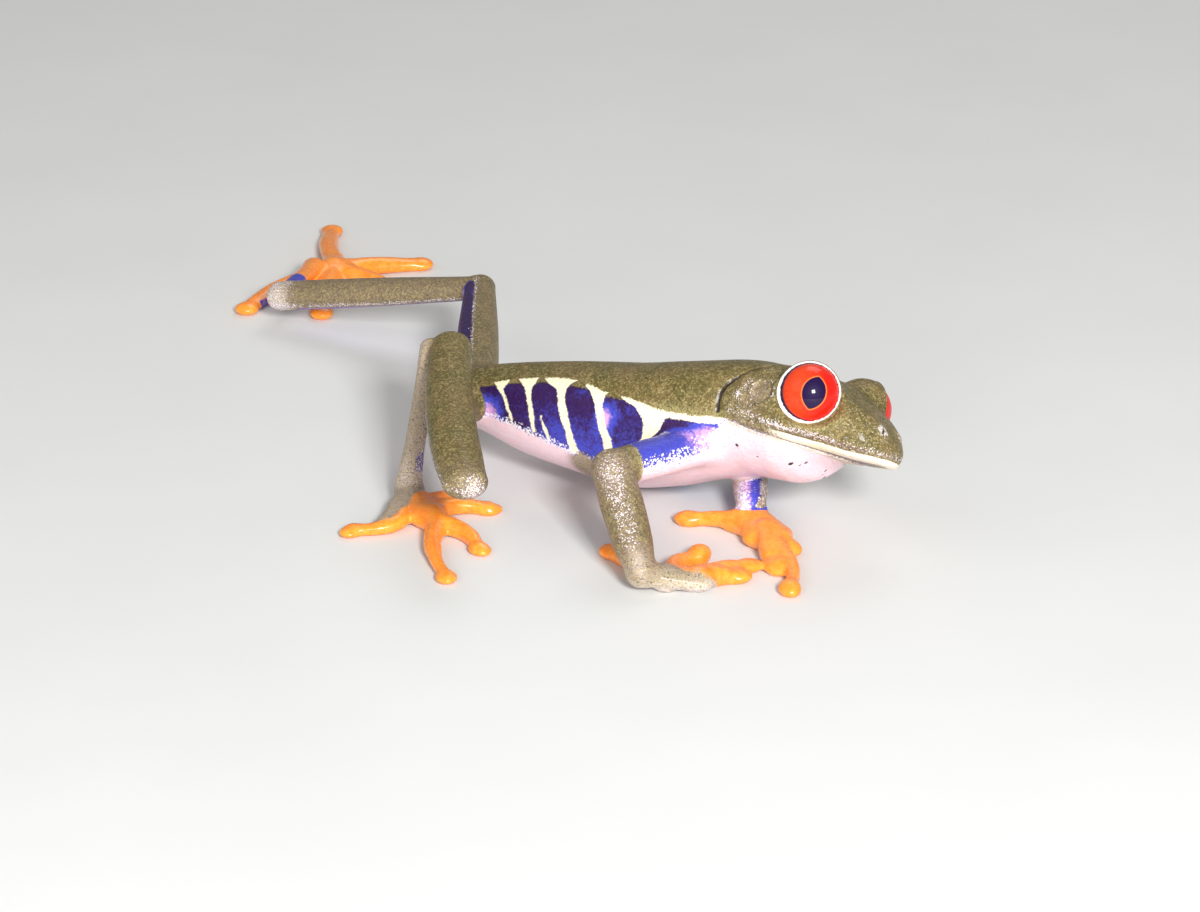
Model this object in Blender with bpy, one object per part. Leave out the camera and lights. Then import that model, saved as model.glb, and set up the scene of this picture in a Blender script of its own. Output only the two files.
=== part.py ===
"""A life-size still model of a red-eyed tree frog (Agalychnis callidryas), crouched and looking ahead.

Lengths in the tables are millimetres; MM turns them into metres when a mesh is written.
+X is the frog's heading, +Y its left, +Z up. It stands on the undersides of its fingers and toes.
"""

import math

import bmesh
import bpy
import numpy as np
from mathutils import Vector

MM = 0.001
GAP = 0.3
SIDES = 14
BODY_SIDES = 28
DIGIT_SIDES = 10
SVL = 54.0
EYE_RADIUS = 3.15
NECK = np.array([22.78, -6.0, 11.3])
HEAD_TURN = (-8.2, 2.0, -29.8)
HIP_TURN = (-1.3, 7.1, -16.0)
EYE_AT = (6.5, 5.0, 2.2)
JAW_PLANE = (-2.35, 0.045)

OLIVE = (0.16, 0.15, 0.045, 1.0)
ORANGE = (0.90, 0.24, 0.02, 1.0)
CREAM = (0.85, 0.68, 0.62, 1.0)
RED = (0.80, 0.03, 0.01, 1.0)


# Trunk: x, y, z of the middle, half width, height over it, depth under it, share of the turn to the head.
TRUNK = (
    (-16.3, -6.0, 6.3, 1.3, 0.9, 0.9, 0.0),
    (-15.4, -6.0, 6.4, 3.0, 2.0, 1.9, 0.0),
    (-12.9, -6.05, 6.6, 4.5, 2.8, 2.7, 0.0),
    (-9.4, -6.1, 6.9, 5.1, 3.4, 3.4, 0.05),
    (-4.0, -6.2, 7.3, 6.2, 4.2, 5.2, 0.15),
    (2.0, -6.35, 7.8, 7.2, 4.8, 6.4, 0.3),
    (8.0, -6.5, 8.3, 7.8, 5.2, 7.3, 0.5),
    (13.0, -6.6, 9.2, 7.9, 5.3, 7.1, 0.7),
    (18.0, -6.6, 10.2, 7.6, 5.3, 6.4, 0.9),
    (21.5, -6.3, 11.0, 7.3, 4.9, 6.3, 1.0),
)
# Head: distance ahead of the neck, rise of the middle, half width, height over it, depth under it.
HEAD = (
    (1.2, 0.0, 7.5, 4.5, 6.6),
    (3.4, 0.0, 7.5, 4.5, 6.5),
    (5.0, 0.0, 7.3, 4.2, 5.9),
    (6.5, 0.0, 7.0, 3.9, 4.3),
    (7.9, 0.0, 6.5, 3.5, 3.6),
    (9.4, -0.2, 5.8, 3.0, 3.3),
    (11.2, -0.6, 4.8, 2.4, 2.9),
    (12.8, -1.1, 3.7, 1.8, 2.3),
    (13.9, -1.6, 2.4, 1.3, 1.6),
    (14.5, -1.9, 1.1, 0.8, 0.9),
)

# Limb joints.
HIP = {"right": (-10.7, -9.3, 8.0), "left": (-13.0, -2.9, 6.3)}
KNEE = {"right": (2.9, -32.0, 9.3), "left": (-24.4, 18.2, 8.5)}
HEEL = {"right": (-12.7, -9.9, 12.9), "left": (-49.8, 18.0, 3.4)}
ANKLE = {"right": (-11.1, -19.8, 2.2), "left": (-54.1, 31.8, 1.8)}
SHOULDER = {"right": (17.6, -12.3, 8.9), "left": (21.5, -2.0, 9.0)}
ELBOW = {"right": (13.3, -22.6, 9.2), "left": (16.2, 1.4, 3.4)}
WRIST = {"right": (19.5, -28.4, 2.1), "left": (22.3, -9.0, 2.4)}

PALM = {
    "foot_right": (-6.2, -23.9),
    "foot_left": (-53.0, 34.2),
    "hand_right": (23.0, -25.6),
    "hand_left": (25.2, -12.6),
}
THIGH = {"right": (2.5, 2.5, 2.4, 2.2, 1.8), "left": (2.3, 2.3, 2.2, 1.95, 1.65)}
SHANK = {
    "right": ((2.2, 1.7), (2.45, 1.8), (2.45, 1.8), (2.4, 1.75), (2.1, 1.7)),
    "left": ((1.6, 1.25), (1.9, 1.35), (2.1, 1.5), (2.0, 1.6), (1.8, 1.6)),
}
TARSUS = (1.15, 0.9, 0.9, 1.1)
FOREARM = {"right": (1.95, 2.05, 1.75, 1.35), "left": (1.6, 1.8, 1.85, 1.75)}

# Digits, innermost first: x and y of the tip, sideways bow as a share of the length.
TOES = {
    "right": (
        (-6.2, -16.2, 0.1),
        (-1.9, -18.0, 0.12),
        (2.3, -28.1, 0.12),
        (2.5, -35.75, 0.08),
        (-12.0, -30.6, -0.1),
    ),
    "left": (
        (-55.4, 18.4, -0.12),
        (-46.7, 21.2, -0.08),
        (-43.0, 32.6, 0.05),
        (-44.9, 42.2, 0.05),
        (-61.4, 47.6, 0.08),
    ),
}
FINGERS = {
    "right": ((12.4, -22.1, 0.1), (21.3, -18.8, 0.12), (26.8, -18.6, 0.1), (26.9, -22.3, -0.12)),
    "left": ((15.1, -11.9, -0.1), (29.6, -19.3, -0.12), (32.9, -23.2, 0.2), (29.0, -14.0, 0.1)),
}
DISC = 1.2
# Digit width and how far the palm spreads to each side of its middle.
DIGIT = {"foot_right": 0.98, "foot_left": 1.2, "hand_right": 0.86, "hand_left": 0.86}
SPREAD = {"foot_right": 0.3, "foot_left": 0.7, "hand_right": 0.4, "hand_left": 1.3}


def clear_scene():
    for thing in list(bpy.data.objects):
        bpy.data.objects.remove(thing, do_unlink=True)


def material(name, colour, roughness):
    made = bpy.data.materials.new(name)
    made.use_nodes = True
    shader = made.node_tree.nodes["Principled BSDF"]
    shader.inputs["Base Color"].default_value = colour
    shader.inputs["Roughness"].default_value = roughness
    shader.inputs["Metallic"].default_value = 0.0
    made.diffuse_color = colour
    return made


def axes_of(turn):
    """Forward, left and up of a yaw, a pitch and a roll in degrees."""
    yaw, pitch, roll = (math.radians(v) for v in turn)
    cy, sy = math.cos(yaw), math.sin(yaw)
    cp, sp = math.cos(pitch), math.sin(pitch)
    cr, sr = math.cos(roll), math.sin(roll)
    turn_z = np.array([[cy, -sy, 0], [sy, cy, 0], [0, 0, 1]])
    turn_y = np.array([[cp, 0, -sp], [0, 1, 0], [sp, 0, cp]])
    turn_x = np.array([[1, 0, 0], [0, cr, -sr], [0, sr, cr]])
    return (turn_z @ turn_y @ turn_x).T


def unit(v):
    v = np.asarray(v, float)
    return v / np.linalg.norm(v)


def in_head(ahead, left, up):
    forward, side, top = axes_of(HEAD_TURN)
    return NECK + forward * ahead + side * left + top * up


def loft(rings, close=True):
    """A closed bmesh through rings of points, all of one length, in order along the piece."""
    bm = bmesh.new()
    rows = [[bm.verts.new(Vector(p)) for p in ring] for ring in rings]
    for low, high in zip(rows, rows[1:]):
        for i in range(len(low)):
            j = (i + 1) % len(low)
            bm.faces.new((low[i], low[j], high[j], high[i]))
    if close:
        bm.faces.new(list(reversed(rows[0])))
        bm.faces.new(rows[-1])
    bmesh.ops.recalc_face_normals(bm, faces=bm.faces)
    return bm


def body_rings():
    """Rings from the vent to the snout, over the trunk's and the head's stations."""
    rings = []
    start = np.array(HIP_TURN)
    turn = np.array(HEAD_TURN) - start
    for x, y, z, wide, over, under, share in TRUNK:
        rings.append(oval(np.array([x, y, z]), axes_of(start + turn * share), wide, over, under))
    for ahead, rise, wide, over, under in HEAD:
        rings.append(oval(in_head(ahead, 0.0, rise), axes_of(HEAD_TURN), wide, over, under))
    return rings


def oval(middle, axes, wide, over, under, power=0.92, sides=BODY_SIDES):
    _, side, top = axes
    ring = []
    for k in range(sides):
        angle = 2 * math.pi * k / sides
        c = math.copysign(abs(math.cos(angle)) ** power, math.cos(angle))
        s = math.copysign(abs(math.sin(angle)) ** power, math.sin(angle))
        ring.append(middle + side * wide * c + top * (over if s > 0 else under) * s)
    return ring


def limb_rings(points, radii, thick=1.0, grow=0.0, sides=SIDES, floor=None):
    """Round-ended tube along points. thick flattens it along the axis nearest to up."""
    points = [np.asarray(p, float) for p in points]
    path = [(points[0] - points[1], 0.0)]
    rings = []
    count = len(points)
    for k, (p, r) in enumerate(zip(points, radii)):
        ahead = unit(points[min(k + 1, count - 1)] - points[max(k - 1, 0)])
        side = unit(np.cross((0, 0, 1), ahead))
        top = np.cross(ahead, side)
        steps = [(0.0, 1.0)]
        if k == 0:
            steps = [(-0.97, 0.24), (-0.8, 0.6), (-0.45, 0.89), (0.0, 1.0)]
        if k == count - 1:
            steps = [(0.0, 1.0), (0.45, 0.89), (0.8, 0.6), (0.97, 0.24)]
        wide = (r[0] if isinstance(r, tuple) else r) + grow
        high = (r[1] if isinstance(r, tuple) else r * thick) + grow
        for along, size in steps:
            middle = p + ahead * along * high
            ring = []
            for n in range(sides):
                angle = 2 * math.pi * n / sides
                q = middle + side * wide * size * math.cos(angle) + top * high * size * math.sin(angle)
                if floor is not None:
                    q[2] = max(q[2], floor)
                ring.append(q)
            rings.append(ring)
    return rings


def keep_side(bm, point, normal):
    """Cuts bm by a plane and keeps the side that the normal points away from."""
    geom = bm.verts[:] + bm.edges[:] + bm.faces[:]
    cut = bmesh.ops.bisect_plane(
        bm,
        geom=geom,
        dist=1e-5,
        plane_co=Vector(point),
        plane_no=Vector(normal),
        clear_outer=True,
    )
    edges = [e for e in bm.edges if e.is_boundary]
    if edges:
        bmesh.ops.holes_fill(bm, edges=edges, sides=0)
    bmesh.ops.recalc_face_normals(bm, faces=bm.faces)
    return cut


def mitre(before, joint, after):
    """Normal of the plane that parts two segments at a joint, pointing along the limb."""
    return unit(unit(np.subtract(joint, before)) + unit(np.subtract(after, joint)))


def node(name, bm, paint, smooth=True):
    """Writes a bmesh in millimetres as an object in metres."""
    bmesh.ops.scale(bm, vec=(MM, MM, MM), verts=bm.verts)
    bmesh.ops.triangulate(bm, faces=bm.faces[:])
    data = bpy.data.meshes.new(name)
    bm.to_mesh(data)
    bm.free()
    thing = bpy.data.objects.new(name, data)
    bpy.context.scene.collection.objects.link(thing)
    data.materials.append(paint)
    if smooth:
        data.shade_smooth()
    return thing


def subtract(thing, bm):
    """Takes the bmesh, in millimetres, away from the object for good."""
    cutter = node("cutter", bm, thing.data.materials[0])
    modifier = thing.modifiers.new("cut", "BOOLEAN")
    modifier.operation = "DIFFERENCE"
    modifier.solver = "EXACT"
    modifier.object = cutter
    graph = bpy.context.evaluated_depsgraph_get()
    graph.update()
    old = thing.data
    thing.data = bpy.data.meshes.new_from_object(thing.evaluated_get(graph))
    thing.data.name = thing.name
    thing.modifiers.clear()
    bpy.data.meshes.remove(old)
    bpy.data.objects.remove(cutter, do_unlink=True)


def body_bmesh(grow=0.0):
    rings = body_rings()
    if grow:
        rings = [[q + unit(q - np.mean(ring, axis=0)) * grow for q in ring] for ring in rings]
    return loft(rings)


def ball(middle, radius, segments=20, rings=12):
    bm = bmesh.new()
    bmesh.ops.create_uvsphere(bm, u_segments=segments, v_segments=rings, radius=radius)
    bmesh.ops.translate(bm, vec=Vector(middle), verts=bm.verts)
    return bm


def make_body(paints):
    forward, side, top = axes_of(HEAD_TURN)
    neck_cut = in_head(-0.6, 0, 0)
    trunk = body_bmesh()
    keep_side(trunk, neck_cut - forward * GAP / 2, forward)
    node("trunk", trunk, paints["olive"])
    fall = unit(top + forward * JAW_PLANE[1])
    mouth = in_head(0.0, 0.0, JAW_PLANE[0])
    head = body_bmesh()
    keep_side(head, neck_cut + forward * GAP / 2, -forward)
    keep_side(head, mouth + fall * GAP / 2, -fall)
    skull = node("head", head, paints["olive"])
    jaw = body_bmesh()
    keep_side(jaw, neck_cut + forward * GAP / 2, -forward)
    keep_side(jaw, mouth - fall * GAP / 2, fall)
    node("lower_jaw", jaw, paints["cream"])
    for word, sign in (("right", -1), ("left", 1)):
        middle = in_head(EYE_AT[0], sign * EYE_AT[1], EYE_AT[2])
        node("eye_" + word, ball(middle, EYE_RADIUS), paints["red"])
        subtract(skull, ball(middle, EYE_RADIUS + GAP))


def along(a, b, shares):
    a = np.asarray(a, float)
    b = np.asarray(b, float)
    return [a + (b - a) * s for s in shares]


def make_segment(name, start, end, shares, radii, paint, thick=1.0, cuts=()):
    bm = loft(limb_rings(along(start, end, shares), radii, thick))
    for point, normal in cuts:
        keep_side(bm, point, normal)
    return node(name, bm, paint)


def make_hind_leg(word, paints):
    hip, knee, heel, ankle = (np.array(j[word]) for j in (HIP, KNEE, HEEL, ANKLE))
    at_knee = mitre(hip, knee, heel)
    at_heel = mitre(knee, heel, ankle)
    half = GAP / 2
    thigh = make_segment(
        "thigh_" + word, hip, knee, (0, 0.25, 0.5, 0.75, 1.0), THIGH[word],
        paints["olive"], 0.85, [(knee - at_knee * half, at_knee)],
    )
    subtract(thigh, body_bmesh(GAP))
    make_segment(
        "shank_" + word, knee, heel, (0, 0.2, 0.45, 0.75, 1.0), SHANK[word],
        paints["olive"], 1.0, [(knee + at_knee * half, -at_knee), (heel - at_heel * half, at_heel)],
    )
    make_segment(
        "tarsus_" + word, heel, ankle, (0, 0.3, 0.7, 1.0), TARSUS,
        paints["olive"], 0.9, [(heel + at_heel * half, -at_heel)],
    )


def make_arm(word, paints):
    shoulder, elbow, wrist = (np.array(j[word]) for j in (SHOULDER, ELBOW, WRIST))
    at_elbow = mitre(shoulder, elbow, wrist)
    half = GAP / 2
    upper = make_segment(
        "upper_arm_" + word, shoulder, elbow, (0, 0.5, 1.0), (2.3, 1.9, 1.8),
        paints["olive"], 1.0, [(elbow - at_elbow * half, at_elbow)],
    )
    subtract(upper, body_bmesh(GAP))
    forearm = make_segment(
        "forearm_" + word, elbow, wrist, (0, 0.35, 0.7, 1.0), FOREARM[word],
        paints["olive"], 1.0, [(elbow + at_elbow * half, -at_elbow)],
    )
    if word == "left":
        subtract(forearm, body_bmesh(GAP))


def digit_path(root, tip, bow):
    """Five points from a palm to a disc on the floor, bowed sideways and a little arched."""
    root = np.array([root[0], root[1], 1.0])
    end = np.array([tip[0], tip[1], 0.45])
    ahead = end - root
    length = np.linalg.norm(ahead)
    ahead = ahead / length
    side = np.array([-ahead[1], ahead[0], 0.0])
    stop = end - ahead * 1.15
    path = []
    for s, arch in ((0.0, 0.0), (0.3, 0.12), (0.6, 0.1), (0.88, 0.0), (1.0, 0.0)):
        p = root + (stop - root) * s + side * bow * length * 4 * s * (1 - s) * 0.5
        p[2] += arch
        path.append(p)
    path.append(stop + ahead * 0.45)
    return path


def digit_bmesh(width, root, tip, bow, grow=0.0):
    radii = [(w * width, h) for w, h in ((0.98, 0.75), (0.86, 0.68), (0.76, 0.6), (0.8, 0.52))]
    radii += [(DISC * 0.94, 0.52), (DISC, 0.52)]
    floor = None if grow else 0.0
    return loft(limb_rings(digit_path(root, tip, bow), radii, 1.0, grow, DIGIT_SIDES, floor))


def digit_base(joint, middle, number):
    """The innermost digit springs from nearer the wrist or ankle than the others do."""
    share = 0.5 if number == 0 else 0.0
    return np.array(joint[:2]) * share + np.array(middle) * (1 - share)


def palm_bmesh(joint, middle, tips, reach, spread, grow=0.0):
    """A flat hull over the joint and the roots of the digits."""
    bm = bmesh.new()
    knobs = [(np.array([joint[0], joint[1], 1.1]), 1.05)]
    for k, (x, y, _) in enumerate(tips):
        base = digit_base(joint, middle, k)
        knobs.append((np.append(base + (np.array([x, y]) - base) * reach, 0.66), 0.78))
    way = unit(np.subtract(middle, joint[:2]))
    across = np.array([-way[1], way[0]]) * spread
    knobs += [(np.append(np.array(middle) + across * sign, 0.66), 0.78) for sign in (-1, 1)]
    template = bmesh.new()
    bmesh.ops.create_icosphere(template, subdivisions=2, radius=1.0)
    for middle, radius in knobs:
        for v in template.verts:
            q = Vector(middle) + v.co * (radius + grow)
            if not grow:
                q.z = max(q.z, 0.0)
            bm.verts.new(q)
    template.free()
    bmesh.ops.remove_doubles(bm, verts=bm.verts, dist=1e-3)
    hull = bmesh.ops.convex_hull(bm, input=bm.verts[:])
    spare = {g for key in ("geom_interior", "geom_unused") for g in hull[key]}
    bmesh.ops.delete(bm, geom=[g for g in spare if isinstance(g, bmesh.types.BMVert)], context="VERTS")
    bmesh.ops.recalc_face_normals(bm, faces=bm.faces)
    return bm


def make_extremity(name, kind, joint, tips, limb, reach, paint):
    """A hand or a foot: one palm and its digits, each its own node."""
    middle = PALM[name]
    spread = SPREAD[name]
    palm = node(name, palm_bmesh(joint, middle, tips, reach, spread), paint)
    subtract(palm, limb)
    word = name.split("_")[1]
    for k, (x, y, bow) in enumerate(tips):
        tip = np.array([x, y])
        base = digit_base(joint, middle, k)
        bm = digit_bmesh(DIGIT[name], base + (tip - base) * reach * 0.6, tip, bow)
        for n in (k - 1, k + 1):
            if 0 <= n < len(tips):
                parting(bm, np.array(middle), tip, np.array(tips[n][:2]))
        digit = node(f"{kind}_{word}_{k + 1}", bm, paint)
        subtract(digit, palm_bmesh(joint, middle, tips, reach, spread, GAP))


def parting(bm, base, tip, other):
    """Keeps a digit on its own side of the upright plane midway to its neighbour."""
    mine, theirs = unit(tip - base), unit(other - base)
    if mine @ theirs < 0.75:
        return
    middle = unit(mine + theirs)
    normal = np.array([-middle[1], middle[0], 0.0])
    if normal[:2] @ (theirs - mine) < 0:
        normal = -normal
    keep_side(bm, np.append(base, 0.0) - normal * GAP / 2, normal)


def rest_on_origin():
    """Puts the middle of the whole model's box over the origin and its lowest point on the floor."""
    low = np.full(3, np.inf)
    high = -low
    for thing in bpy.data.objects:
        corners = np.array([v.co for v in thing.data.vertices])
        low = np.minimum(low, corners.min(axis=0))
        high = np.maximum(high, corners.max(axis=0))
    shift = Vector((-(low[0] + high[0]) / 2, -(low[1] + high[1]) / 2, -low[2]))
    for thing in bpy.data.objects:
        thing.location = shift
    print("shift in mm", [round(v / MM, 4) for v in shift])


def main():
    clear_scene()
    paints = {
        "olive": material("olive_skin", OLIVE, 0.35),
        "orange": material("orange_skin", ORANGE, 0.35),
        "cream": material("cream_skin", CREAM, 0.4),
        "red": material("red_eye", RED, 0.08),
    }
    make_body(paints)
    for word in ("right", "left"):
        make_hind_leg(word, paints)
        make_arm(word, paints)
        heel, ankle = HEEL[word], ANKLE[word]
        tarsus = loft(limb_rings(along(heel, ankle, (0.2, 1.0)), (1.2, 1.15), 0.9, GAP))
        make_extremity("foot_" + word, "toe", ankle, TOES[word], tarsus, 0.36, paints["orange"])
        elbow, wrist = ELBOW[word], WRIST[word]
        forearm = loft(limb_rings(along(elbow, wrist, (0.3, 1.0)), (2.0, 1.8), 1.0, GAP))
        make_extremity("hand_" + word, "finger", wrist, FINGERS[word], forearm, 0.36, paints["orange"])
    rest_on_origin()


main()
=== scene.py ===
"""A life-size still model of a red-eyed tree frog: skin, two eyes, loose granules, floor, light and camera.

Tables are in millimetres in the frog's own frame: +X its heading, +Y its left, +Z up.
"""

import math

import bpy
import numpy as np
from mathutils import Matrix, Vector


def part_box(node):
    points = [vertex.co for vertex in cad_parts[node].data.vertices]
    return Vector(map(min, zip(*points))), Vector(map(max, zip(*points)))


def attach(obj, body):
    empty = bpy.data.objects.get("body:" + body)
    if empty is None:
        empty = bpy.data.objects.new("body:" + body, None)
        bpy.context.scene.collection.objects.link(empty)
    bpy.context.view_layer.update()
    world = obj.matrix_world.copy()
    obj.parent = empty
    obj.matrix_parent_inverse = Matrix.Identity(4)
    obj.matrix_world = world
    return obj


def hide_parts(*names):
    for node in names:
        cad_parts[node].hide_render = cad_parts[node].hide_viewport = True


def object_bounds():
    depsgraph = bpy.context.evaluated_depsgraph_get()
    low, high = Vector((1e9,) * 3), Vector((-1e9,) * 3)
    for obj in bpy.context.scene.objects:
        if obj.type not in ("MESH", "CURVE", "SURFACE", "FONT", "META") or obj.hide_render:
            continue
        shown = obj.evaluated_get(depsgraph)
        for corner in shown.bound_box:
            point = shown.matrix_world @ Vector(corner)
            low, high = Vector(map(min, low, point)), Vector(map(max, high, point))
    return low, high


bl_info = {
    "name": "Red-eyed tree frog",
    "version": (1, 0, 0),
    "blender": (4, 5, 0),
    "location": "3D View > Sidebar > Tree frog",
    "description": "Builds the skin, the eyes and the granules of a life-size tree frog",
    "category": "Add Mesh",
}

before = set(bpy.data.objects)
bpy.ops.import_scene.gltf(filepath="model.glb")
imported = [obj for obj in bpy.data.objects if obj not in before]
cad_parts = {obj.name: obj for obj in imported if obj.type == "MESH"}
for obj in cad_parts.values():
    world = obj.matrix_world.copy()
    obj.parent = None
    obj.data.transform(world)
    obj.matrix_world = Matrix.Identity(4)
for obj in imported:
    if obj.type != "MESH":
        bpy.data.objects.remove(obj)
CAD_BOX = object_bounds()
MM = 0.001

# Where the head turns on the trunk, then yaw, pitch and roll of the head and of the hips in degrees.
NECK = np.array([22.78, -6.0, 11.3])
HEAD_TURN = (-8.2, 2.0, -29.8)
HIP_TURN = (-1.3, 7.1, -16.0)
# Middle of each eye: ahead, out to the side and up from the neck.
EYE_AT = (6.5, 5.0, 2.2)
# Degrees forward of sideways and up that each eye looks, and rings and turns of the eyeball's mesh.
EYE_LOOK = (28.0, 3.0)
EYE_MESH = (64, 128)
# Pupil: where its middle lies fore and up on the iris, half width and height, and lean in degrees.
PUPIL_AT = (0.4, -0.2)
PUPIL_HALF = (1.12, 1.62)
PUPIL_LEAN = 2.0
# How far each eye stands off its place on the head.
EYE_SHIFT = {"right": (-0.25, -0.12, -0.38), "left": (0.0, 0.0, 0.2)}
# Power of the trunk's and head's sections: 2 is an ellipse, more is squarer.
SQUARE = 2.0 / 0.92

# Trunk: x, y, z of the middle, half width, height over it, depth under it, share of the turn to the head.
TRUNK = (
    (-16.3, -6.0, 6.3, 1.3, 0.9, 0.9, 0.0),
    (-15.4, -6.0, 6.4, 3.0, 2.0, 1.9, 0.0),
    (-12.9, -6.05, 6.6, 4.5, 2.8, 2.7, 0.0),
    (-9.4, -6.1, 6.9, 5.1, 3.4, 3.4, 0.05),
    (-4.0, -6.2, 7.3, 6.2, 4.2, 5.2, 0.15),
    (2.0, -6.35, 7.8, 7.2, 4.8, 6.4, 0.3),
    (8.0, -6.5, 8.3, 7.8, 5.2, 7.3, 0.5),
    (13.0, -6.6, 9.2, 7.9, 5.3, 7.1, 0.7),
    (18.0, -6.6, 10.2, 7.6, 5.3, 6.4, 0.9),
    (21.5, -6.3, 11.0, 7.3, 4.9, 6.3, 1.0),
)
# Head: distance ahead of the neck, rise of the middle, half width, height over it, depth under it.
HEAD = (
    (1.2, 0.0, 7.5, 4.5, 6.6),
    (3.4, 0.0, 7.5, 4.5, 6.5),
    (5.0, 0.0, 7.3, 4.2, 5.9),
    (6.5, 0.0, 7.0, 3.9, 4.3),
    (7.9, 0.0, 6.5, 3.5, 3.6),
    (9.4, -0.2, 5.8, 3.0, 3.3),
    (11.2, -0.6, 4.8, 2.4, 2.9),
    (12.8, -1.1, 3.7, 1.8, 2.3),
    (13.9, -1.6, 2.4, 1.3, 1.6),
    (14.5, -1.9, 1.1, 0.8, 0.9),
)
# Joints of the limbs, and the middle of each sole or palm.
HIP = {"right": (-10.7, -9.3, 8.0), "left": (-13.0, -2.9, 6.3)}
KNEE = {"right": (2.9, -32.0, 9.3), "left": (-24.4, 18.2, 8.5)}
HEEL = {"right": (-12.7, -9.9, 12.9), "left": (-49.8, 18.0, 3.4)}
# The folded shank and tarsus lie side by side: how far each stands off the heel joint.
HEEL_SPREAD = {"right": ((0.7, 0.38, 0.0), (-1.1, -0.6, 0.0)), "left": ((0.0, 0.0, 0.0), (0.0, 0.0, 0.0))}
ANKLE = {"right": (-11.1, -19.8, 2.2), "left": (-54.1, 31.8, 1.8)}
SHOULDER = {"right": (17.6, -12.3, 8.9), "left": (21.5, -2.0, 9.0)}
ELBOW = {"right": (13.3, -22.6, 9.2), "left": (16.2, 1.4, 3.4)}
WRIST = {"right": (19.5, -28.4, 2.1), "left": (21.8, -9.3, 2.4)}
PALM = {
    "foot_right": (-6.2, -23.9),
    "foot_left": (-53.0, 34.2),
    "hand_right": (24.0, -25.2),
    "hand_left": (25.2, -12.6),
}
# Digits, innermost first: x and y of the tip, sideways bow as a share of the length.
TIPS = {
    "foot_right": (
        (-6.2, -16.2, 0.1),
        (-1.9, -18.0, 0.2),
        (2.3, -28.1, 0.22),
        (2.5, -35.75, -0.12),
        (-12.0, -30.6, 0.66),
    ),
    "foot_left": (
        (-55.4, 18.4, -0.12),
        (-46.7, 21.2, -0.08),
        (-43.0, 32.6, 0.05),
        (-44.9, 42.2, 0.05),
        (-61.4, 47.6, 0.08),
    ),
    "hand_right": ((12.4, -22.1, 0.1), (21.3, -18.8, 0.3), (26.8, -18.6, 0.1), (27.3, -21.4, -0.1)),
    "hand_left": ((15.1, -11.9, -0.1), (29.6, -19.3, -0.12), (32.9, -23.2, 0.2), (29.0, -14.0, 0.1)),
}
# Sets how far from the palm's middle the root of each digit stands.
REACH = 0.36
# How far back toward the wrist or ankle each digit springs.
INNER = {
    "foot_right": (0.5, 0.35, 0.0, 0.0, 0.75),
    "foot_left": (0.5, 0.0, 0.0, 0.0, 0.0),
    "hand_right": (0.5, 0.6, 0.0, 0.0),
    "hand_left": (0.5, 0.0, 0.0, 0.0),
}
# Discs that stand higher off the floor than the rest.
TALL = {"hand_right_1": 0.95}
# By foot or hand: half width of the digits and of their discs, sideways spread of the palm,
# height of the digits and discs as a share of the usual, and reach of the webs.
DIGIT = {"foot_right": 0.7, "foot_left": 1.1, "hand_right": 0.78, "hand_left": 0.72}
DISC = {"foot_right": 1.05, "foot_left": 1.3, "hand_right": 1.15, "hand_left": 1.0}
SPREAD = {"foot_right": 0.3, "foot_left": 0.7, "hand_right": 0.3, "hand_left": 1.0}
FLAT = {"foot_right": 0.78, "foot_left": 1.0, "hand_right": 1.0, "hand_left": 1.0}
WEB = {"foot_right": 2.6, "foot_left": 3.4, "hand_right": 1.4, "hand_left": 5.0}
# How far the thick middle of each sole or palm reaches.
MOUND = {"foot_right": 2.8, "foot_left": 3.0, "hand_right": 2.6, "hand_left": 4.2}
# A fold of skin that runs from the ankle down to the outer toe: its end and its half thickness.
FLANGE = {"foot_right": ((-9.6, -27.0, 0.75), 0.75)}
STRAIGHT = (0.0, 0.0, 0.0)
QUARTERS = (0.0, 0.25, 0.5, 0.75, 1.0)
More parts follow.
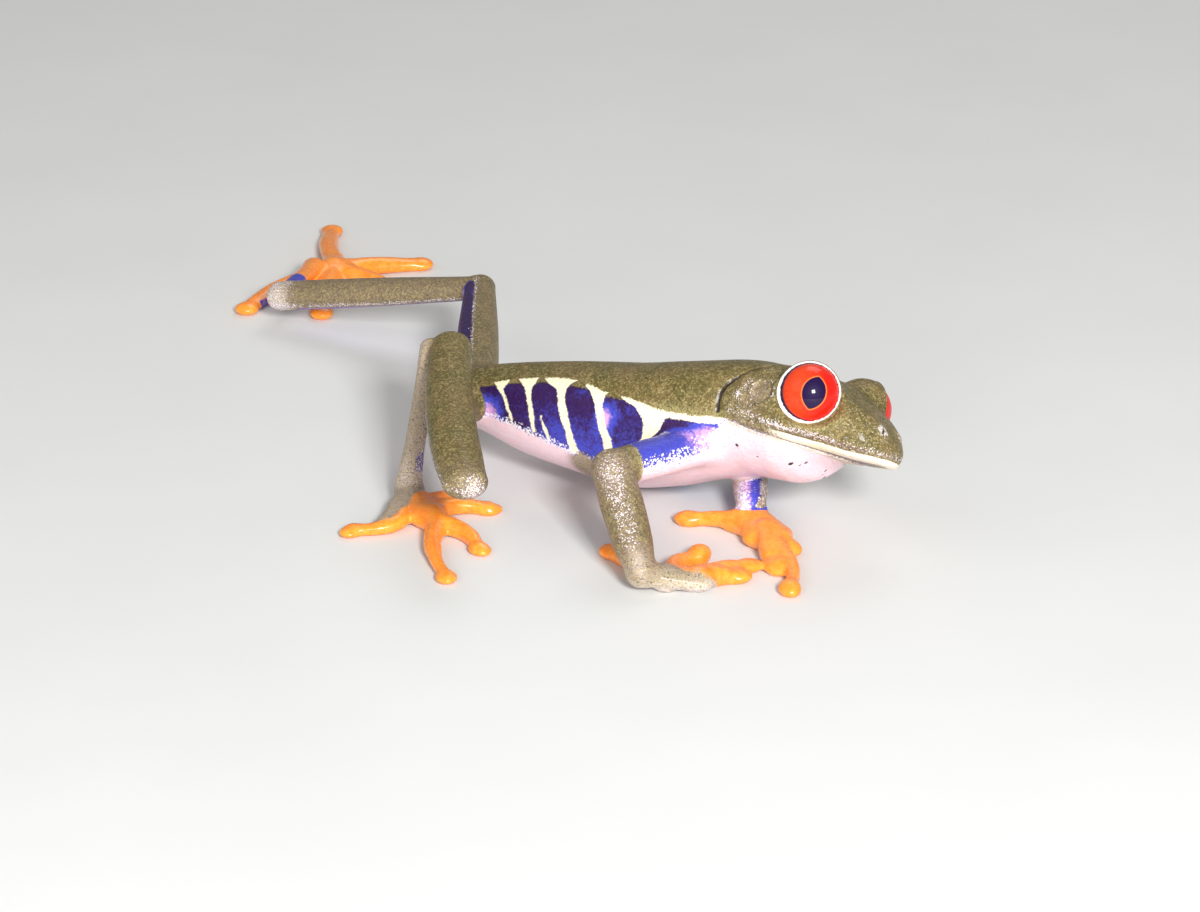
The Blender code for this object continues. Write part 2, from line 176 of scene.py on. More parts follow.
# Limb segments: shares of the length, half widths and half heights there, the blend into what they join,
# the bow of the middle, the way the olive side faces, and how far round it the olive stops.
LIMBS = {
    "thigh_right": dict(
        shares=QUARTERS, wide=(2.3, 2.1, 2.0, 1.9, 1.75), flat=0.85, blend=1.7,
        bow=(-1.1, -0.6, 0.0), outer=(0.8, 0.45, 0.4), edge=-0.25,
    ),
    "thigh_left": dict(
        shares=QUARTERS, wide=(2.3, 2.3, 2.2, 1.95, 1.65), flat=0.85, blend=1.2,
        outer=(0.85, 0.45, 0.25), edge=-0.05,
    ),
    "shank_right": dict(
        shares=(0, 0.2, 0.45, 0.75, 1), wide=(2.2, 2.45, 2.45, 2.3, 2.1), high=(1.7, 1.85, 1.85, 1.8, 1.7),
        blend=0.28, bow=(-0.62, -0.33, 0.0), outer=(0.5, -0.6, 0.6), edge=-0.95,
    ),
    "shank_left": dict(
        shares=(0, 0.2, 0.45, 0.75, 1), wide=(1.6, 1.9, 2.1, 2.0, 1.8), high=(1.25, 1.35, 1.5, 1.6, 1.6),
        blend=0.6, outer=(0, -0.35, 0.94), edge=-0.35,
    ),
    "tarsus_right": dict(
        shares=(0, 0.3, 0.7, 1), wide=(1.1, 0.98, 1.02, 1.3), high=(1.0, 0.9, 0.9, 1.1), blend=0.3,
        outer=(-0.8, -0.5, 0.3), edge=-0.55,
    ),
    "tarsus_left": dict(
        shares=(0, 0.3, 0.7, 1), wide=(1.1, 0.98, 1.02, 1.3), high=(1.0, 0.9, 0.9, 1.1), blend=0.3,
        outer=(-0.3, -0.5, 0.8), edge=-0.55,
    ),
    "upper_arm_right": dict(
        shares=(0, 0.5, 1), wide=(2.3, 2.2, 1.95), high=(1.9, 1.9, 1.8), blend=1.3,
        outer=(-0.3, -0.3, 0.9), edge=2.0,
    ),
    "upper_arm_left": dict(
        shares=(0, 0.5, 1), wide=(2.3, 2.2, 1.95), high=(1.9, 1.9, 1.8), blend=1.2,
        outer=(-0.3, -0.3, 0.9), edge=2.0,
    ),
    "forearm_right": dict(
        shares=(0, 0.35, 0.7, 1), wide=(1.9, 2.1, 1.95, 1.4), flat=1.0, blend=0.6,
        outer=(-0.1, -0.8, 0.6), edge=-0.8,
    ),
    "forearm_left": dict(
        shares=(0, 0.35, 0.7, 1), wide=(1.6, 1.85, 1.75, 1.45), high=(1.6, 1.7, 1.6, 1.5), blend=0.6,
        outer=(-0.6, 0.6, 0.5), edge=2.0,
    ),
}
# Where each sole or palm turns orange: a point on the edge, and the way the orange lies.
ORANGE = {
    "foot_right": ((-8.8, -23.5), (1.0, 0.0)),
    "foot_left": ((-56.0, 33.0), (0.8, 0.45)),
    "hand_right": ((25.2, -24.9), (0.0, 1.0)),
    "hand_left": ((21.6, -9.9), (0.6, -0.8)),
}

# How far along the two inner fingers of the near hand the orange starts.
ORANGE_START = {"hand_right_0": 4.5, "hand_right_1": 1.0}

# Flank: along the body in mm, angle in degrees up the side from its widest line.
OLIVE_EDGE = (
    (0, 2), (4, 13), (8.4, 23), (10.5, 29), (13.4, 34), (16.6, 36), (19.1, 35), (21.2, 31), (22.4, 27),
    (25.6, 14), (27.0, 11), (30.4, -3), (33.0, -10), (34.9, -14), (38.4, -20), (39.5, -21.5), (60, -22),
)
# The olive dips to these tops of the dark patches between the bars.
PATCH_TOP = (
    (0, 2), (4, 12), (8.4, 21), (9.6, 22), (13.0, 27), (16.7, 29), (21.0, 24), (26.0, 10), (28.5, 6),
    (32, 20),
)
BELLY_EDGE = (
    (0, -8), (8.7, -17), (10.7, -21), (13.1, -23), (15.0, -28), (17.8, -34), (20.4, -40), (23.0, -46),
    (27.0, -56), (30.9, -64), (33.0, -60), (35.7, -49), (37.4, -35), (38.6, -21.5), (60, -21.5),
)
# Cream bars: angle, rear edge, front edge, from the top down.
BARS = (
    (
        (30, 10.3, 12.4), (19, 11.2, 12.0), (7, 12.15, 12.6), (-4, 12.6, 13.0), (-16, 13.1, 13.5),
        (-22, 13.3, 13.5),
    ),
    (
        (34, 13.3, 15.9), (28, 14.0, 15.8), (22, 14.6, 15.6), (9, 15.2, 15.8), (-2, 15.5, 16.1),
        (-13, 15.8, 16.4), (-26, 16.0, 16.4),
    ),
    ((-13, 17.2, 17.4), (-22, 17.5, 18.0), (-31, 17.8, 18.2)),
    (
        (34, 16.6, 21.2), (27, 17.6, 20.2), (19, 18.8, 19.9), (0, 19.4, 20.4), (-10, 19.8, 20.8),
        (-19, 20.3, 21.1), (-29, 20.5, 21.5), (-39, 20.6, 21.8),
    ),
    (
        (25, 22.0, 25.6), (18, 22.9, 25.5), (14, 23.2, 24.8), (4, 23.8, 24.7), (-4, 24.1, 25.0),
        (-17, 24.6, 25.5), (-26, 25.0, 26.0), (-36, 25.0, 26.0),
    ),
    (
        (10, 26.7, 31.0), (2, 27.9, 31.5), (-1, 28.5, 32.2), (-9, 29.4, 33.4), (-13, 29.7, 32.3),
        (-17, 29.8, 32.0), (-24, 29.8, 31.7), (-29, 29.4, 30.5), (-38, 29.0, 30.0),
    ),
)
BAND_LOW = ((31.0, -9), (33.3, -16), (34.9, -19), (36.3, -22.5), (37.5, -24.5), (38.6, -24))
# Head marks: distances ahead, out to the side and up from the neck.
MOUTH = (
    (-2.0, -2.35), (0.1, -2.67), (3.0, -3.04), (6.0, -3.17), (8.2, -3.15), (11.1, -3.25), (13.8, -3.15),
    (14.6, -3.05),
)
BROW = ((6.9, 5.6, 5.3), (5.0, 5.2, 5.0), (3.9, 5.6, 4.1), (3.35, 6.4, 2.6), (3.5, 7.0, 1.0))
CREASE = (
    (2.6, 4.6, 4.4), (1.5, 5.2, 3.9), (0.44, 5.97, 3.04), (-0.5, 6.4, 2.2), (-1.03, 6.66, 1.6),
    (-1.7, 7.2, 0.6), (-1.95, 7.4, -0.3), (-1.95, 7.35, -1.2), (-1.85, 7.3, -2.0),
)
CANTHUS = ((8.9, 4.1, 2.2), (10.6, 3.3, 1.5), (11.7, 2.6, 1.0), (12.7, 1.9, 0.5))
LOREAL = ((9.9, 5.0, -0.3), (11.4, 3.9, -0.7), (12.7, 2.8, -1.0))
TYMPANUM = (2.46, 7.35, 0.79)
DRUM = 1.32
NOSTRIL = (13.4, 1.75, 0.08)
SLIT = ((13.28, 1.55, 0.38), (13.5, 1.88, -0.16))
SPECKS = (
    (0.3, 5.5, -4.6, 0.2), (2.3, 4.6, -5.1, 0.13), (5.3, 3.3, -5.0, 0.2), (6.1, 1.9, -4.4, 0.14),
    (5.7, 2.2, -4.7, 0.1),
)


CHEEK = (1.2, 7.3, -0.4)
# Painted shade in the folds of the head, the brow, the nostril's slit and round the eardrum: half width in
# mm and how dark.
FOLDS = (("fold", 0.3, 1.0), ("brow", 0.16, 0.9), ("slit", 0.2, 1.0), ("drum", 0.08, 0.5))
# Lines of painted glints and creamy lines of the head: how strong, how wide, and their corners.
GLINT_LINES = (
    (0.5, 0.4, ((0.1, 7.5, -0.1), (0.7, 7.0, 1.4))),
    (0.28, 0.6, ((-0.4, 7.3, -1.5), (1.4, 7.2, -1.8), (4.6, 6.6, -2.0))),
)
CREAM_LINES = (
    (0.55, 0.75, ((7.0, 6.5, -1.3), (8.8, 5.7, -1.2), (9.9, 5.5, -0.3))),
    (0.8, 0.2, ((13.2, 1.5, 0.9), (13.1, 1.9, -0.3))),
)
# Soft blots on the flank's tone: how strong, where along and up the flank, how long and how tall.
BLOTS = (
    (2.2, 25.2, -8, 1.0, 11),
    (1.6, 36.3, -32, 1.5, 11),
    # This one is a painted highlight: a bluish spot high on a dark patch.
    (0.5, 22.0, 18, 0.8, 5),
    (-1.0, 33.0, -26, 1.7, 8),
)
# Granular spots of painted sheen on the near elbow and knee: limbs, middle, width, share of painted glints,
# share of grey.
SHEEN_SPOTS = (
    (("forearm_right", "upper_arm_right"), (13.6, -23.7, 9.8), 2.5, 0.22, 0.9),
    (("shank_right", "thigh_right"), (4.1, -33.2, 9.2), 1.35, 0.75, 1.3),
)


# Stage, in metres and degrees. Lights: azimuth, elevation, distance, width and power in watts.
FLOOR_HALF = 6.0
FLOOR_GREYS = ((0.66, 0.67, 0.66, 1), (0.71, 0.71, 0.70, 1))
SKY = ((1.0, 0.98, 0.94, 1), 0.27)
LIT = Vector((0.012, -0.006, 0.008))
LIGHTS = (
    ("key", 42, 27, 0.55, 0.10, 3.8),
    ("front", 18, 12, 0.55, 0.25, 1.5),
    ("fill", -40, 40, 0.7, 0.5, 0.6),
    ("rim", 190, 50, 0.6, 0.3, 0.7),
)


def unit(v):
    v = np.asarray(v, float)
    return v / np.linalg.norm(v)


def axes_of(turn):
    """Forward, left and up of a yaw, a pitch and a roll in degrees."""
    (cz, sz), (cy, sy), (cx, sx) = ((math.cos(v), math.sin(v)) for v in map(math.radians, turn))
    turn_z = np.array([[cz, -sz, 0], [sz, cz, 0], [0, 0, 1]])
    turn_y = np.array([[cy, 0, -sy], [0, 1, 0], [sy, 0, cy]])
    turn_x = np.array([[1, 0, 0], [0, cx, -sx], [0, sx, cx]])
    return (turn_z @ turn_y @ turn_x).T


HEAD_AXES = axes_of(HEAD_TURN)
# Corners of a box that holds the trunk and the head with their blends.
BODY_BOX = ((-20.0, -18.5, -2.0), (41.0, 5.5, 22.0))


def in_head(ahead, left, up):
    return NECK + np.array([ahead, left, up]) @ HEAD_AXES


def of_head(p):
    """Ahead, left and up of points, from the neck."""
    return (p - NECK) @ HEAD_AXES.T


def middle_of(node):
    low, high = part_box(node)
    return np.array((low + high) / 2) / MM


SHIFT = middle_of("eye_right") - in_head(EYE_AT[0], -EYE_AT[1], EYE_AT[2])


def through(table, q, column=1):
    """Monotone cubic through the rows of a table, read at q."""
    x = np.array([row[0] for row in table], float)
    y = np.array([row[column] for row in table], float)
    gap = np.diff(x)
    slope = np.diff(y) / gap
    both = slope[:-1] * slope[1:]
    tangent = np.zeros(len(y))
    tangent[1:-1] = np.where(both > 0, 2 * both / np.where(both > 0, slope[:-1] + slope[1:], 1.0), 0.0)
    tangent[0] = slope[0]
    tangent[-1] = slope[-1]
    q = np.clip(q, x[0], x[-1])
    k = np.clip(np.searchsorted(x, q, side="right") - 1, 0, len(gap) - 1)
    t = (q - x[k]) / gap[k]
    a = y[k] * (1 + 2 * t) * (1 - t) ** 2 + y[k + 1] * t * t * (3 - 2 * t)
    return a + gap[k] * (tangent[k] * t * (1 - t) ** 2 + tangent[k + 1] * t * t * (t - 1))


def near_min(a, b, k):
    h = np.maximum(k - np.abs(a - b), 0.0) / k
    return np.minimum(a, b) - h * h * k * 0.25


def near_max(a, b, k):
    return -near_min(-a, -b, k)


def rise(x, low, high):
    t = np.clip((x - low) / (high - low), 0.0, 1.0)
    return t * t * (3 - 2 * t)


def ridge(distance, width):
    return np.exp(-((distance / width) ** 2))


def away(p, place):
    return np.linalg.norm(p - place, axis=1)


def off_segment(p, a, b):
    """Share of the way from a to b beside each point, and the offset from there to the point."""
    ab = b - a
    t = np.clip((p - a) @ ab / (ab @ ab), 0.0, 1.0)
    return t, p - a - t[:, None] * ab


def from_oval(r, rho, least):
    """Distance to an oval: r is the distance from its middle, rho the same in the oval's own radii."""
    return np.where(r > 1e-3, r - r / np.maximum(rho, 1e-3), -least)


def from_line(p, points):
    """Least distance from points to a line of corners, and how far along it that is, in corners."""
    points = np.asarray(points, float)
    best = np.full(len(p), 1e9)
    where = np.zeros(len(p))
    for k, (a, b) in enumerate(zip(points, points[1:])):
        t, off = off_segment(p, a, b)
        d = np.linalg.norm(off, axis=1)
        nearer = d < best
        best[nearer] = d[nearer]
        where[nearer] = k + t[nearer]
    return best, where


class Body:
    """Trunk and head as one smooth loft, read as a distance field."""

    STEP = 0.25

    def __init__(self):
        rows = []
        start = np.array(HIP_TURN)
        turn = np.array(HEAD_TURN) - start
        for x, y, z, wide, over, under, share in TRUNK:
            rows.append((x, y, z, *(start + turn * share), wide, over, under))
        for ahead, up, wide, over, under in HEAD:
            rows.append((*in_head(ahead, 0.0, up), *HEAD_TURN, wide, over, under))
        rows = np.array(rows)
        steps = np.linalg.norm(np.diff(rows[:, :3], axis=0), axis=1)
        self.stations = np.concatenate([[0.0], np.cumsum(steps)])
        self.length = self.stations[-1]
        s = np.arange(0.0, self.length + 2 * self.STEP, self.STEP)
        dense = [through(list(zip(self.stations, rows[:, k])), s) for k in range(9)]
        table = []
        for row in zip(*dense):
            table.append([*row[:3], *np.ravel(axes_of(row[3:6])), *row[6:]])
        self.table = np.array(table)

    def look(self, s):
        place = s / self.STEP
        k = np.minimum(place.astype(int), len(self.table) - 2)
        t = (place - k)[:, None]
        return self.table[k] * (1 - t) + self.table[k + 1] * t

    def coordinates(self, p):
        """Along, side, up in the section, its half width and height, and how far past an end."""
        s = np.interp(p[:, 0], self.table[:, 0], np.arange(len(self.table)) * self.STEP)
        for _ in range(4):
            row = self.look(s)
            s = np.clip(s + ((p - row[:, :3]) * row[:, 3:6]).sum(1), 0.0, self.length)
        row = self.look(s)
        q = p - row[:, :3]
        past = (q * row[:, 3:6]).sum(1)
        side = (q * row[:, 6:9]).sum(1)
        up = (q * row[:, 9:12]).sum(1)
        return s, side, up, row[:, 12], np.where(up > 0, row[:, 13], row[:, 14]), past

    def distance(self, p):
        s, side, up, wide, high, past = self.coordinates(p)
        rho = (np.abs(side / wide) ** SQUARE + np.abs(up / high) ** SQUARE) ** (1 / SQUARE)
        r = np.hypot(side, up)
        d = from_oval(r, rho, np.minimum(wide, high))
        d = np.where(np.abs(past) > 1e-3, np.hypot(np.maximum(d, 0.0), past), d)
        return d - self.relief(p, s, side, up)

    def relief(self, p, s, side, up):
        """How far the real surface stands proud of the plain loft, in mm."""
        above = rise(up, 0, 2)
        out = -0.22 * ridge(side, 0.9) * above * rise(s, 4, 9) * (1 - rise(s, 30, 40))
        out += 0.16 * ridge(np.abs(side) - 3.0, 1.1) * above * rise(s, 2, 6) * (1 - rise(s, 17, 27))
        head = s > 33.0
        if head.any():
            out[head] += head_relief(of_head(p[head]))
        return out


def head_relief(h):
    q = np.column_stack([h[:, 0], np.abs(h[:, 1]), h[:, 2]])
    a, l, u = q.T
    d, where = from_line(q, CREASE)
    out = -0.42 * ridge(d, 0.24) * (1 - 0.5 * rise(where, 4.5, 6))
    behind = rise(a, -1.2, 0.8)
    out += 0.22 * ridge(d, 1.3) * behind - 0.12 * ridge(d, 1.0) * (1 - behind)
    d = away(q, TYMPANUM)
    out += 0.16 * ridge(d - 1.34, 0.17) - 0.2 * (1 - rise(d, 0.9, 1.35))
    out += 0.3 * ridge(from_line(q, CANTHUS)[0], 0.85)
    out -= 0.42 * ridge(from_line(q, LOREAL)[0], 1.25)
    out += 0.3 * ridge(l, 3.0) * ridge(a - 8.0, 3.0) * rise(u, 0.5, 2.0)
    out -= 0.22 * ridge(from_line(q, BROW)[0], 0.22) * (h[:, 1] < 0)
    mouth = u - through(MOUTH, a)
    span = rise(a, -0.4, 0.6)
    lips = 0.1 * ridge(mouth - 0.3, 0.28) - 0.26 * ridge(mouth + 0.05, 0.12)
    lips -= 0.1 * ridge(mouth - 0.72, 0.16)
    out += span * lips
    out += 0.34 * ridge(away(q, NOSTRIL), 0.55) - 0.4 * ridge(from_line(q, SLIT)[0], 0.15)
    return out


class Eye:
    """One eye: its middle, the way it looks, and the lid round it."""

    def __init__(self, word, sizes):
        sign = -1.0 if word == "right" else 1.0
        self.middle = in_head(EYE_AT[0], sign * EYE_AT[1], EYE_AT[2]) + EYE_SHIFT[word]
        turn, lift = (math.radians(v) for v in EYE_LOOK)
        level = math.cos(lift)
        look = np.array([math.sin(turn) * level, sign * math.cos(turn) * level, math.sin(lift)])
        self.look = look @ HEAD_AXES
        self.up = unit(HEAD_AXES[2] - self.look * (HEAD_AXES[2] @ self.look))
        self.fore = np.cross(self.up, self.look) * -sign
        self.radius = sizes.eye_radius / MM
        self.lid = sizes.lid_radius / MM
        self.rim = sizes.lid_opening / MM
        self.ring = math.sqrt(self.lid**2 - self.rim**2) - 0.05

    def coordinates(self, p):
        """Along the way it looks, toward the snout and up, from its middle."""
        v = p - self.middle
        return v @ self.look, v @ self.fore, v @ self.up

    def rim_distance(self, p):
        out, fore, up = self.coordinates(p)
        ring = self.ring
        r = np.hypot(fore, up)
        angle = np.arctan2(up, fore)
        lower = np.clip(np.cos(angle - math.radians(225)), 0, 1) ** 1.5
        centre = np.hypot(r - ring - 0.04 * lower, out - self.rim + 0.06 + 0.05 * lower)
        return centre - 0.15 - 0.05 * lower, lower

    def rim_mark(self, p):
        """How far inside the pale edge of the lid, in mm."""
        out, fore, up = self.coordinates(p)
        r = np.hypot(fore, up)
        lower = self.rim_distance(p)[1]
        near = (out > 0) & (np.hypot(out, r) < self.lid + 0.9)
        return np.where(near, self.ring + 0.08 + 0.16 * lower - r, -2.0)

    def shape(self, p, d):
        """Puts the lid round the eye into the skin's field."""
        out, fore, up = self.coordinates(p)
        r = np.hypot(fore, up)
        far = np.sqrt(out**2 + r**2)
        d = near_min(d, far - self.lid, 1.1)
        funnel = (self.rim + 0.02 + np.maximum(r - self.lid, 0) * 1.1 - out) * 0.7
        d = near_max(d, np.where(far < 5.5, -funnel, -9.0), 0.35)
        d = near_min(d, self.rim_distance(p)[0], 0.2)
        return np.maximum(d, np.minimum(self.radius + 0.03 - far, out - self.rim + 0.3))


class Limb:
    """A straight or slightly bowed segment with its own widths, heights and markings."""

    def __init__(self, name, ends, shares, wide, blend, outer, edge, high=None, flat=1.0, bow=STRAIGHT):
        self.name, self.blend, self.edge = name, blend, edge
        high = high or [w * flat for w in wide]
        self.a, self.b = np.array(ends, float)
        self.bow = np.array(bow, float)
        self.length = np.linalg.norm(self.b - self.a)
        self.ahead = (self.b - self.a) / self.length
        self.side = unit(np.cross((0, 0, 1), self.ahead))
        self.top = np.cross(self.ahead, self.side)
        self.wide = list(zip(shares, wide))
        self.high = list(zip(shares, high))
        outer = np.array(outer, float)
        self.outer = unit(outer - self.ahead * (outer @ self.ahead))
        grow = max(max(wide), max(high)) + blend + 1.8 + np.abs(self.bow).max()
        self.low = np.minimum(self.a, self.b) - grow
        self.high_corner = np.maximum(self.a, self.b) + grow

    def parts(self, p):
        t = np.clip((p - self.a) @ self.ahead / self.length, 0.0, 1.0)
        v = p - self.a - (t * self.length)[:, None] * self.ahead - (4 * t * (1 - t))[:, None] * self.bow
        return t, v, through(self.wide, t), through(self.high, t)

    def distance(self, p):
        t, v, wide, high = self.parts(p)
        side, top, ahead = v @ self.side, v @ self.top, v @ self.ahead
        rho = np.sqrt((side / wide) ** 2 + (top / high) ** 2 + (ahead / high) ** 2)
        return from_oval(np.linalg.norm(v, axis=1), rho, high)


class Digit:
    """A finger or toe: a tapering path along the floor that ends in a round disc."""

    # How high the digit arches over a straight line, by shares of its length.
    ARCH = (
        (0.0, 0.02), (0.15, 0.09), (0.3, 0.12), (0.45, 0.13), (0.6, 0.1), (0.75, 0.04), (0.88, 0.0),
        (1.0, 0.0),
    )
    # Half widths, in digit widths, and half heights at the root and at each share of the length.
    WIDE = np.array((1.0, 0.98, 0.92, 0.88, 0.9, 0.86, 0.8, 0.8, 0.86))
    HIGH = np.array((0.9, 0.86, 0.82, 0.78, 0.74, 0.7, 0.64, 0.6, 0.55))
    FULLER = 1.12

    def __init__(self, limb, joint, number):
        self.name, self.limb = f"{limb}_{number}", limb
        self.blend, self.soft = (1.1, 0.9) if limb == "hand_left" else (0.55, 0.35)
        inner = INNER[limb][number]
        base = np.array(joint[:2]) * inner + np.array(PALM[limb]) * (1 - inner)
        *tip, bow = TIPS[limb][number]
        tip = np.array(tip, float)
        root = base + (tip - base) * REACH * 0.6
        root = np.append(root, 1.0)
        end = np.append(tip, 0.45 * FLAT[limb])
        ahead = unit(end - root)
        length = np.linalg.norm(end - root)
        side = np.array([-ahead[1], ahead[0], 0.0])
        stop = end - ahead * 1.15
        path = [np.append(base, 1.05)]
        self.origin = base
        for s, arch in self.ARCH:
            q = root + (stop - root) * s + side * bow * length * 2 * s * (1 - s)
            q[2] += arch
            path.append(q)
        self.path = np.array(path)
        self.pad = DISC[limb]
        self.wide = self.WIDE * DIGIT[limb]
        self.high = self.HIGH * FLAT[limb]
        self.side, self.ahead = unit(side), unit(np.append(ahead[:2], 0.0))
        self.disc = stop + ahead * 0.3
        self.tall = TALL.get(self.name, 0.66) * FLAT[limb]
        self.disc[2] = max(0.5 * FLAT[limb], self.tall - 0.12)
        self.low = self.path.min(0) - 3.2
        self.high_corner = self.path.max(0) + 3.2

    def distance(self, p):
        where = from_line(p, self.path)[1]
        corners = np.arange(len(self.path))
        v = p - np.stack([np.interp(where, corners, self.path[:, n]) for n in range(3)], 1)
        wide, high = (self.FULLER * np.interp(where, corners, size) for size in (self.wide, self.high))
        flat = np.hypot(v[:, 0], v[:, 1])
        rho = np.sqrt((flat / wide) ** 2 + (v[:, 2] / high) ** 2)
        finger = from_oval(np.hypot(flat, v[:, 2]), rho, high)
        v = p - self.disc
        ahead, side = v @ self.ahead, v @ self.side
        rho = np.sqrt((ahead / 1.3) ** 2 + (side / self.pad) ** 2 + (v[:, 2] / self.tall) ** 2)
        return near_min(finger, from_oval(np.linalg.norm(v, axis=1), rho, 0.6), self.soft)

    def flat_distance(self, p):
        d, where = from_line(p[:, :2], self.path[:, :2])
        return d - np.interp(where, np.arange(len(self.wide)), self.wide)


class Palm:
    """The sole or palm: a low mound at the joint, and the webs between neighbouring digits."""

    def __init__(self, name, joint, digits):
        self.name, self.blend, self.digits = name, 0.9, digits
        self.joint = np.array((joint[0], joint[1], 1.7 if name == "hand_right" else 1.1))
        self.middle = np.append(PALM[name], 0.85)
        self.web, self.mound = WEB[name], MOUND[name]
        way = unit(self.middle[:2] - self.joint[:2])
        self.across = np.array([-way[1], way[0], 0.0])
        self.spread = SPREAD[name]
        spread = np.array([d.path[5] for d in digits])
        self.low = np.minimum(spread.min(0), self.joint) - 3.0
        self.high_corner = np.maximum(spread.max(0), self.joint) + 3.0
        self.low[2], self.high_corner[2] = -2.0, 4.0

    def distance(self, p):
        t, v = off_segment(p, self.joint, self.middle)
        off = v @ self.across
        v = v - np.clip(off, -self.spread, self.spread)[:, None] * self.across * (0.35 + 0.65 * t)[:, None]
        flat = np.hypot(v[:, 0], v[:, 1])
        rho = np.sqrt((flat / (1.15 + 0.4 * t)) ** 2 + (v[:, 2] / (1.05 - 0.1 * t)) ** 2)
        d = from_oval(np.linalg.norm(v, axis=1), rho, 0.8)
        for one, two in zip(self.digits, self.digits[1:]):
            d = near_min(d, self.web_distance(p, one, two), 0.7)
        if self.name in FLANGE:
            end, thick = FLANGE[self.name]
            t, v = off_segment(p, self.joint, np.array(end))
            d = near_min(d, np.linalg.norm(v, axis=1) - thick * (1.25 - 0.35 * t), 1.2)
        return d

    def web_distance(self, p, one, two):
        near = near_min(one.flat_distance(p), two.flat_distance(p), self.web)
        for digit, other in ((one, two), (two, one)):
            base, tip = digit.path[1][:2], digit.path[-1][:2]
            line = unit(tip - base)
            across = np.array([-line[1], line[0]])
            across = across if (other.path[-1][:2] - base) @ across > 0 else -across
            near = np.maximum(near, -((p[:, :2] - base) @ across) - 0.5)
        off = np.linalg.norm(p[:, :2] - self.middle[:2], axis=1)
        far = min(np.linalg.norm(digit.path[-1] - self.middle) for digit in (one, two))
        near = near_max(near, off - far * (0.72 if self.name == "hand_left" else 1.1), 0.8)
        thick = 0.26 + 0.5 * np.exp(-((off / self.mound) ** 2))
        return near_max(near, np.abs(p[:, 2] - 0.3 - thick) - thick, 0.25)


def hind_leg(word):
    """Thigh, shank, tarsus and foot."""
    hip, knee, heel, ankle = (np.array(joint[word]) for joint in (HIP, KNEE, HEEL, ANKLE))
    shank_off, tarsus_off = (np.array(v) for v in HEEL_SPREAD[word])
    ends = {
        "thigh": (hip, knee),
        "shank": (knee - shank_off * 0.6, heel + shank_off),
        "tarsus": (heel + tarsus_off, ankle),
    }
    return segments(ends, word) + foot_or_hand("foot_" + word, ankle)


def fore_leg(word):
    """Upper arm, forearm and hand."""
    shoulder, elbow, wrist = (joint[word] for joint in (SHOULDER, ELBOW, WRIST))
    ends = {"upper_arm": (shoulder, elbow), "forearm": (elbow, wrist)}
    return segments(ends, word) + foot_or_hand("hand_" + word, wrist)


def segments(ends, word):
    return [Limb(f"{kind}_{word}", pair, **LIMBS[f"{kind}_{word}"]) for kind, pair in ends.items()]


def foot_or_hand(name, joint):
    digits = [Digit(name, joint, k) for k in range(len(TIPS[name]))]
    return [Palm(name, joint, digits)] + digits


def legs_and_arms():
    """Every limb part in the order in which it joins the skin."""
    return [part for word in ("right", "left") for part in hind_leg(word) + fore_leg(word)]


def within(p, low, high):
    return ((p > low) & (p < high)).all(1)


class Frog:
    """The whole skin as one distance field, in mm, negative inside."""

    def __init__(self, sizes):
        self.body = Body()
        self.parts = legs_and_arms()
        self.eyes = [Eye(word, sizes) for word in ("right", "left")]

    def field(self, p):
        d = np.full(len(p), 9.0)
        near = within(p, *BODY_BOX)
        if near.any():
            d[near] = self.body.distance(p[near])
            for eye in self.eyes:
                close = near & (np.abs(p - eye.middle).max(1) < 6.0)
                if close.any():
                    d[close] = eye.shape(p[close], d[close])
        for part in self.parts:
            near = within(p, part.low, part.high_corner)
            if near.any():
                d[near] = near_min(d[near], part.distance(p[near]), part.blend)
        return near_max(d, -p[:, 2], 0.06)


def in_chunks(call, p, size=150000):
    return np.concatenate([call(p[k : k + size]) for k in range(0, len(p), size)])


def sample(frog, step, low, high):
    """The field on a grid, worked out only in the blocks that the surface passes through."""
    block = 8
    count = np.ceil((high - low) / step / block).astype(int)
    values = np.empty(tuple(count * block), np.float32)
    cells = np.stack(np.meshgrid(*(np.arange(n) for n in count), indexing="ij"), -1).reshape(-1, 3)
    middle = low + (cells + 0.5) * block * step - step / 2
    coarse = in_chunks(frog.field, middle)
    blocks = values.reshape(count[0], block, count[1], block, count[2], block)
    for k, (i, j, m) in enumerate(cells):
        if abs(coarse[k]) >= 1.35 * block * step:
            blocks[i, :, j, :, m, :] = coarse[k]
    offsets = np.stack(np.meshgrid(*(np.arange(block),) * 3, indexing="ij"), -1).reshape(-1, 3)
    kept = cells[np.abs(coarse) < 1.35 * block * step]
    for start in range(0, len(kept), 400):
        some = kept[start : start + 400]
        points = low + (some[:, None, :] * block + offsets[None]) * step
        found = frog.field(points.reshape(-1, 3)).reshape(-1, block, block, block)
        for (i, j, m), cube in zip(some, found):
            blocks[i, :, j, :, m, :] = cube
    return values


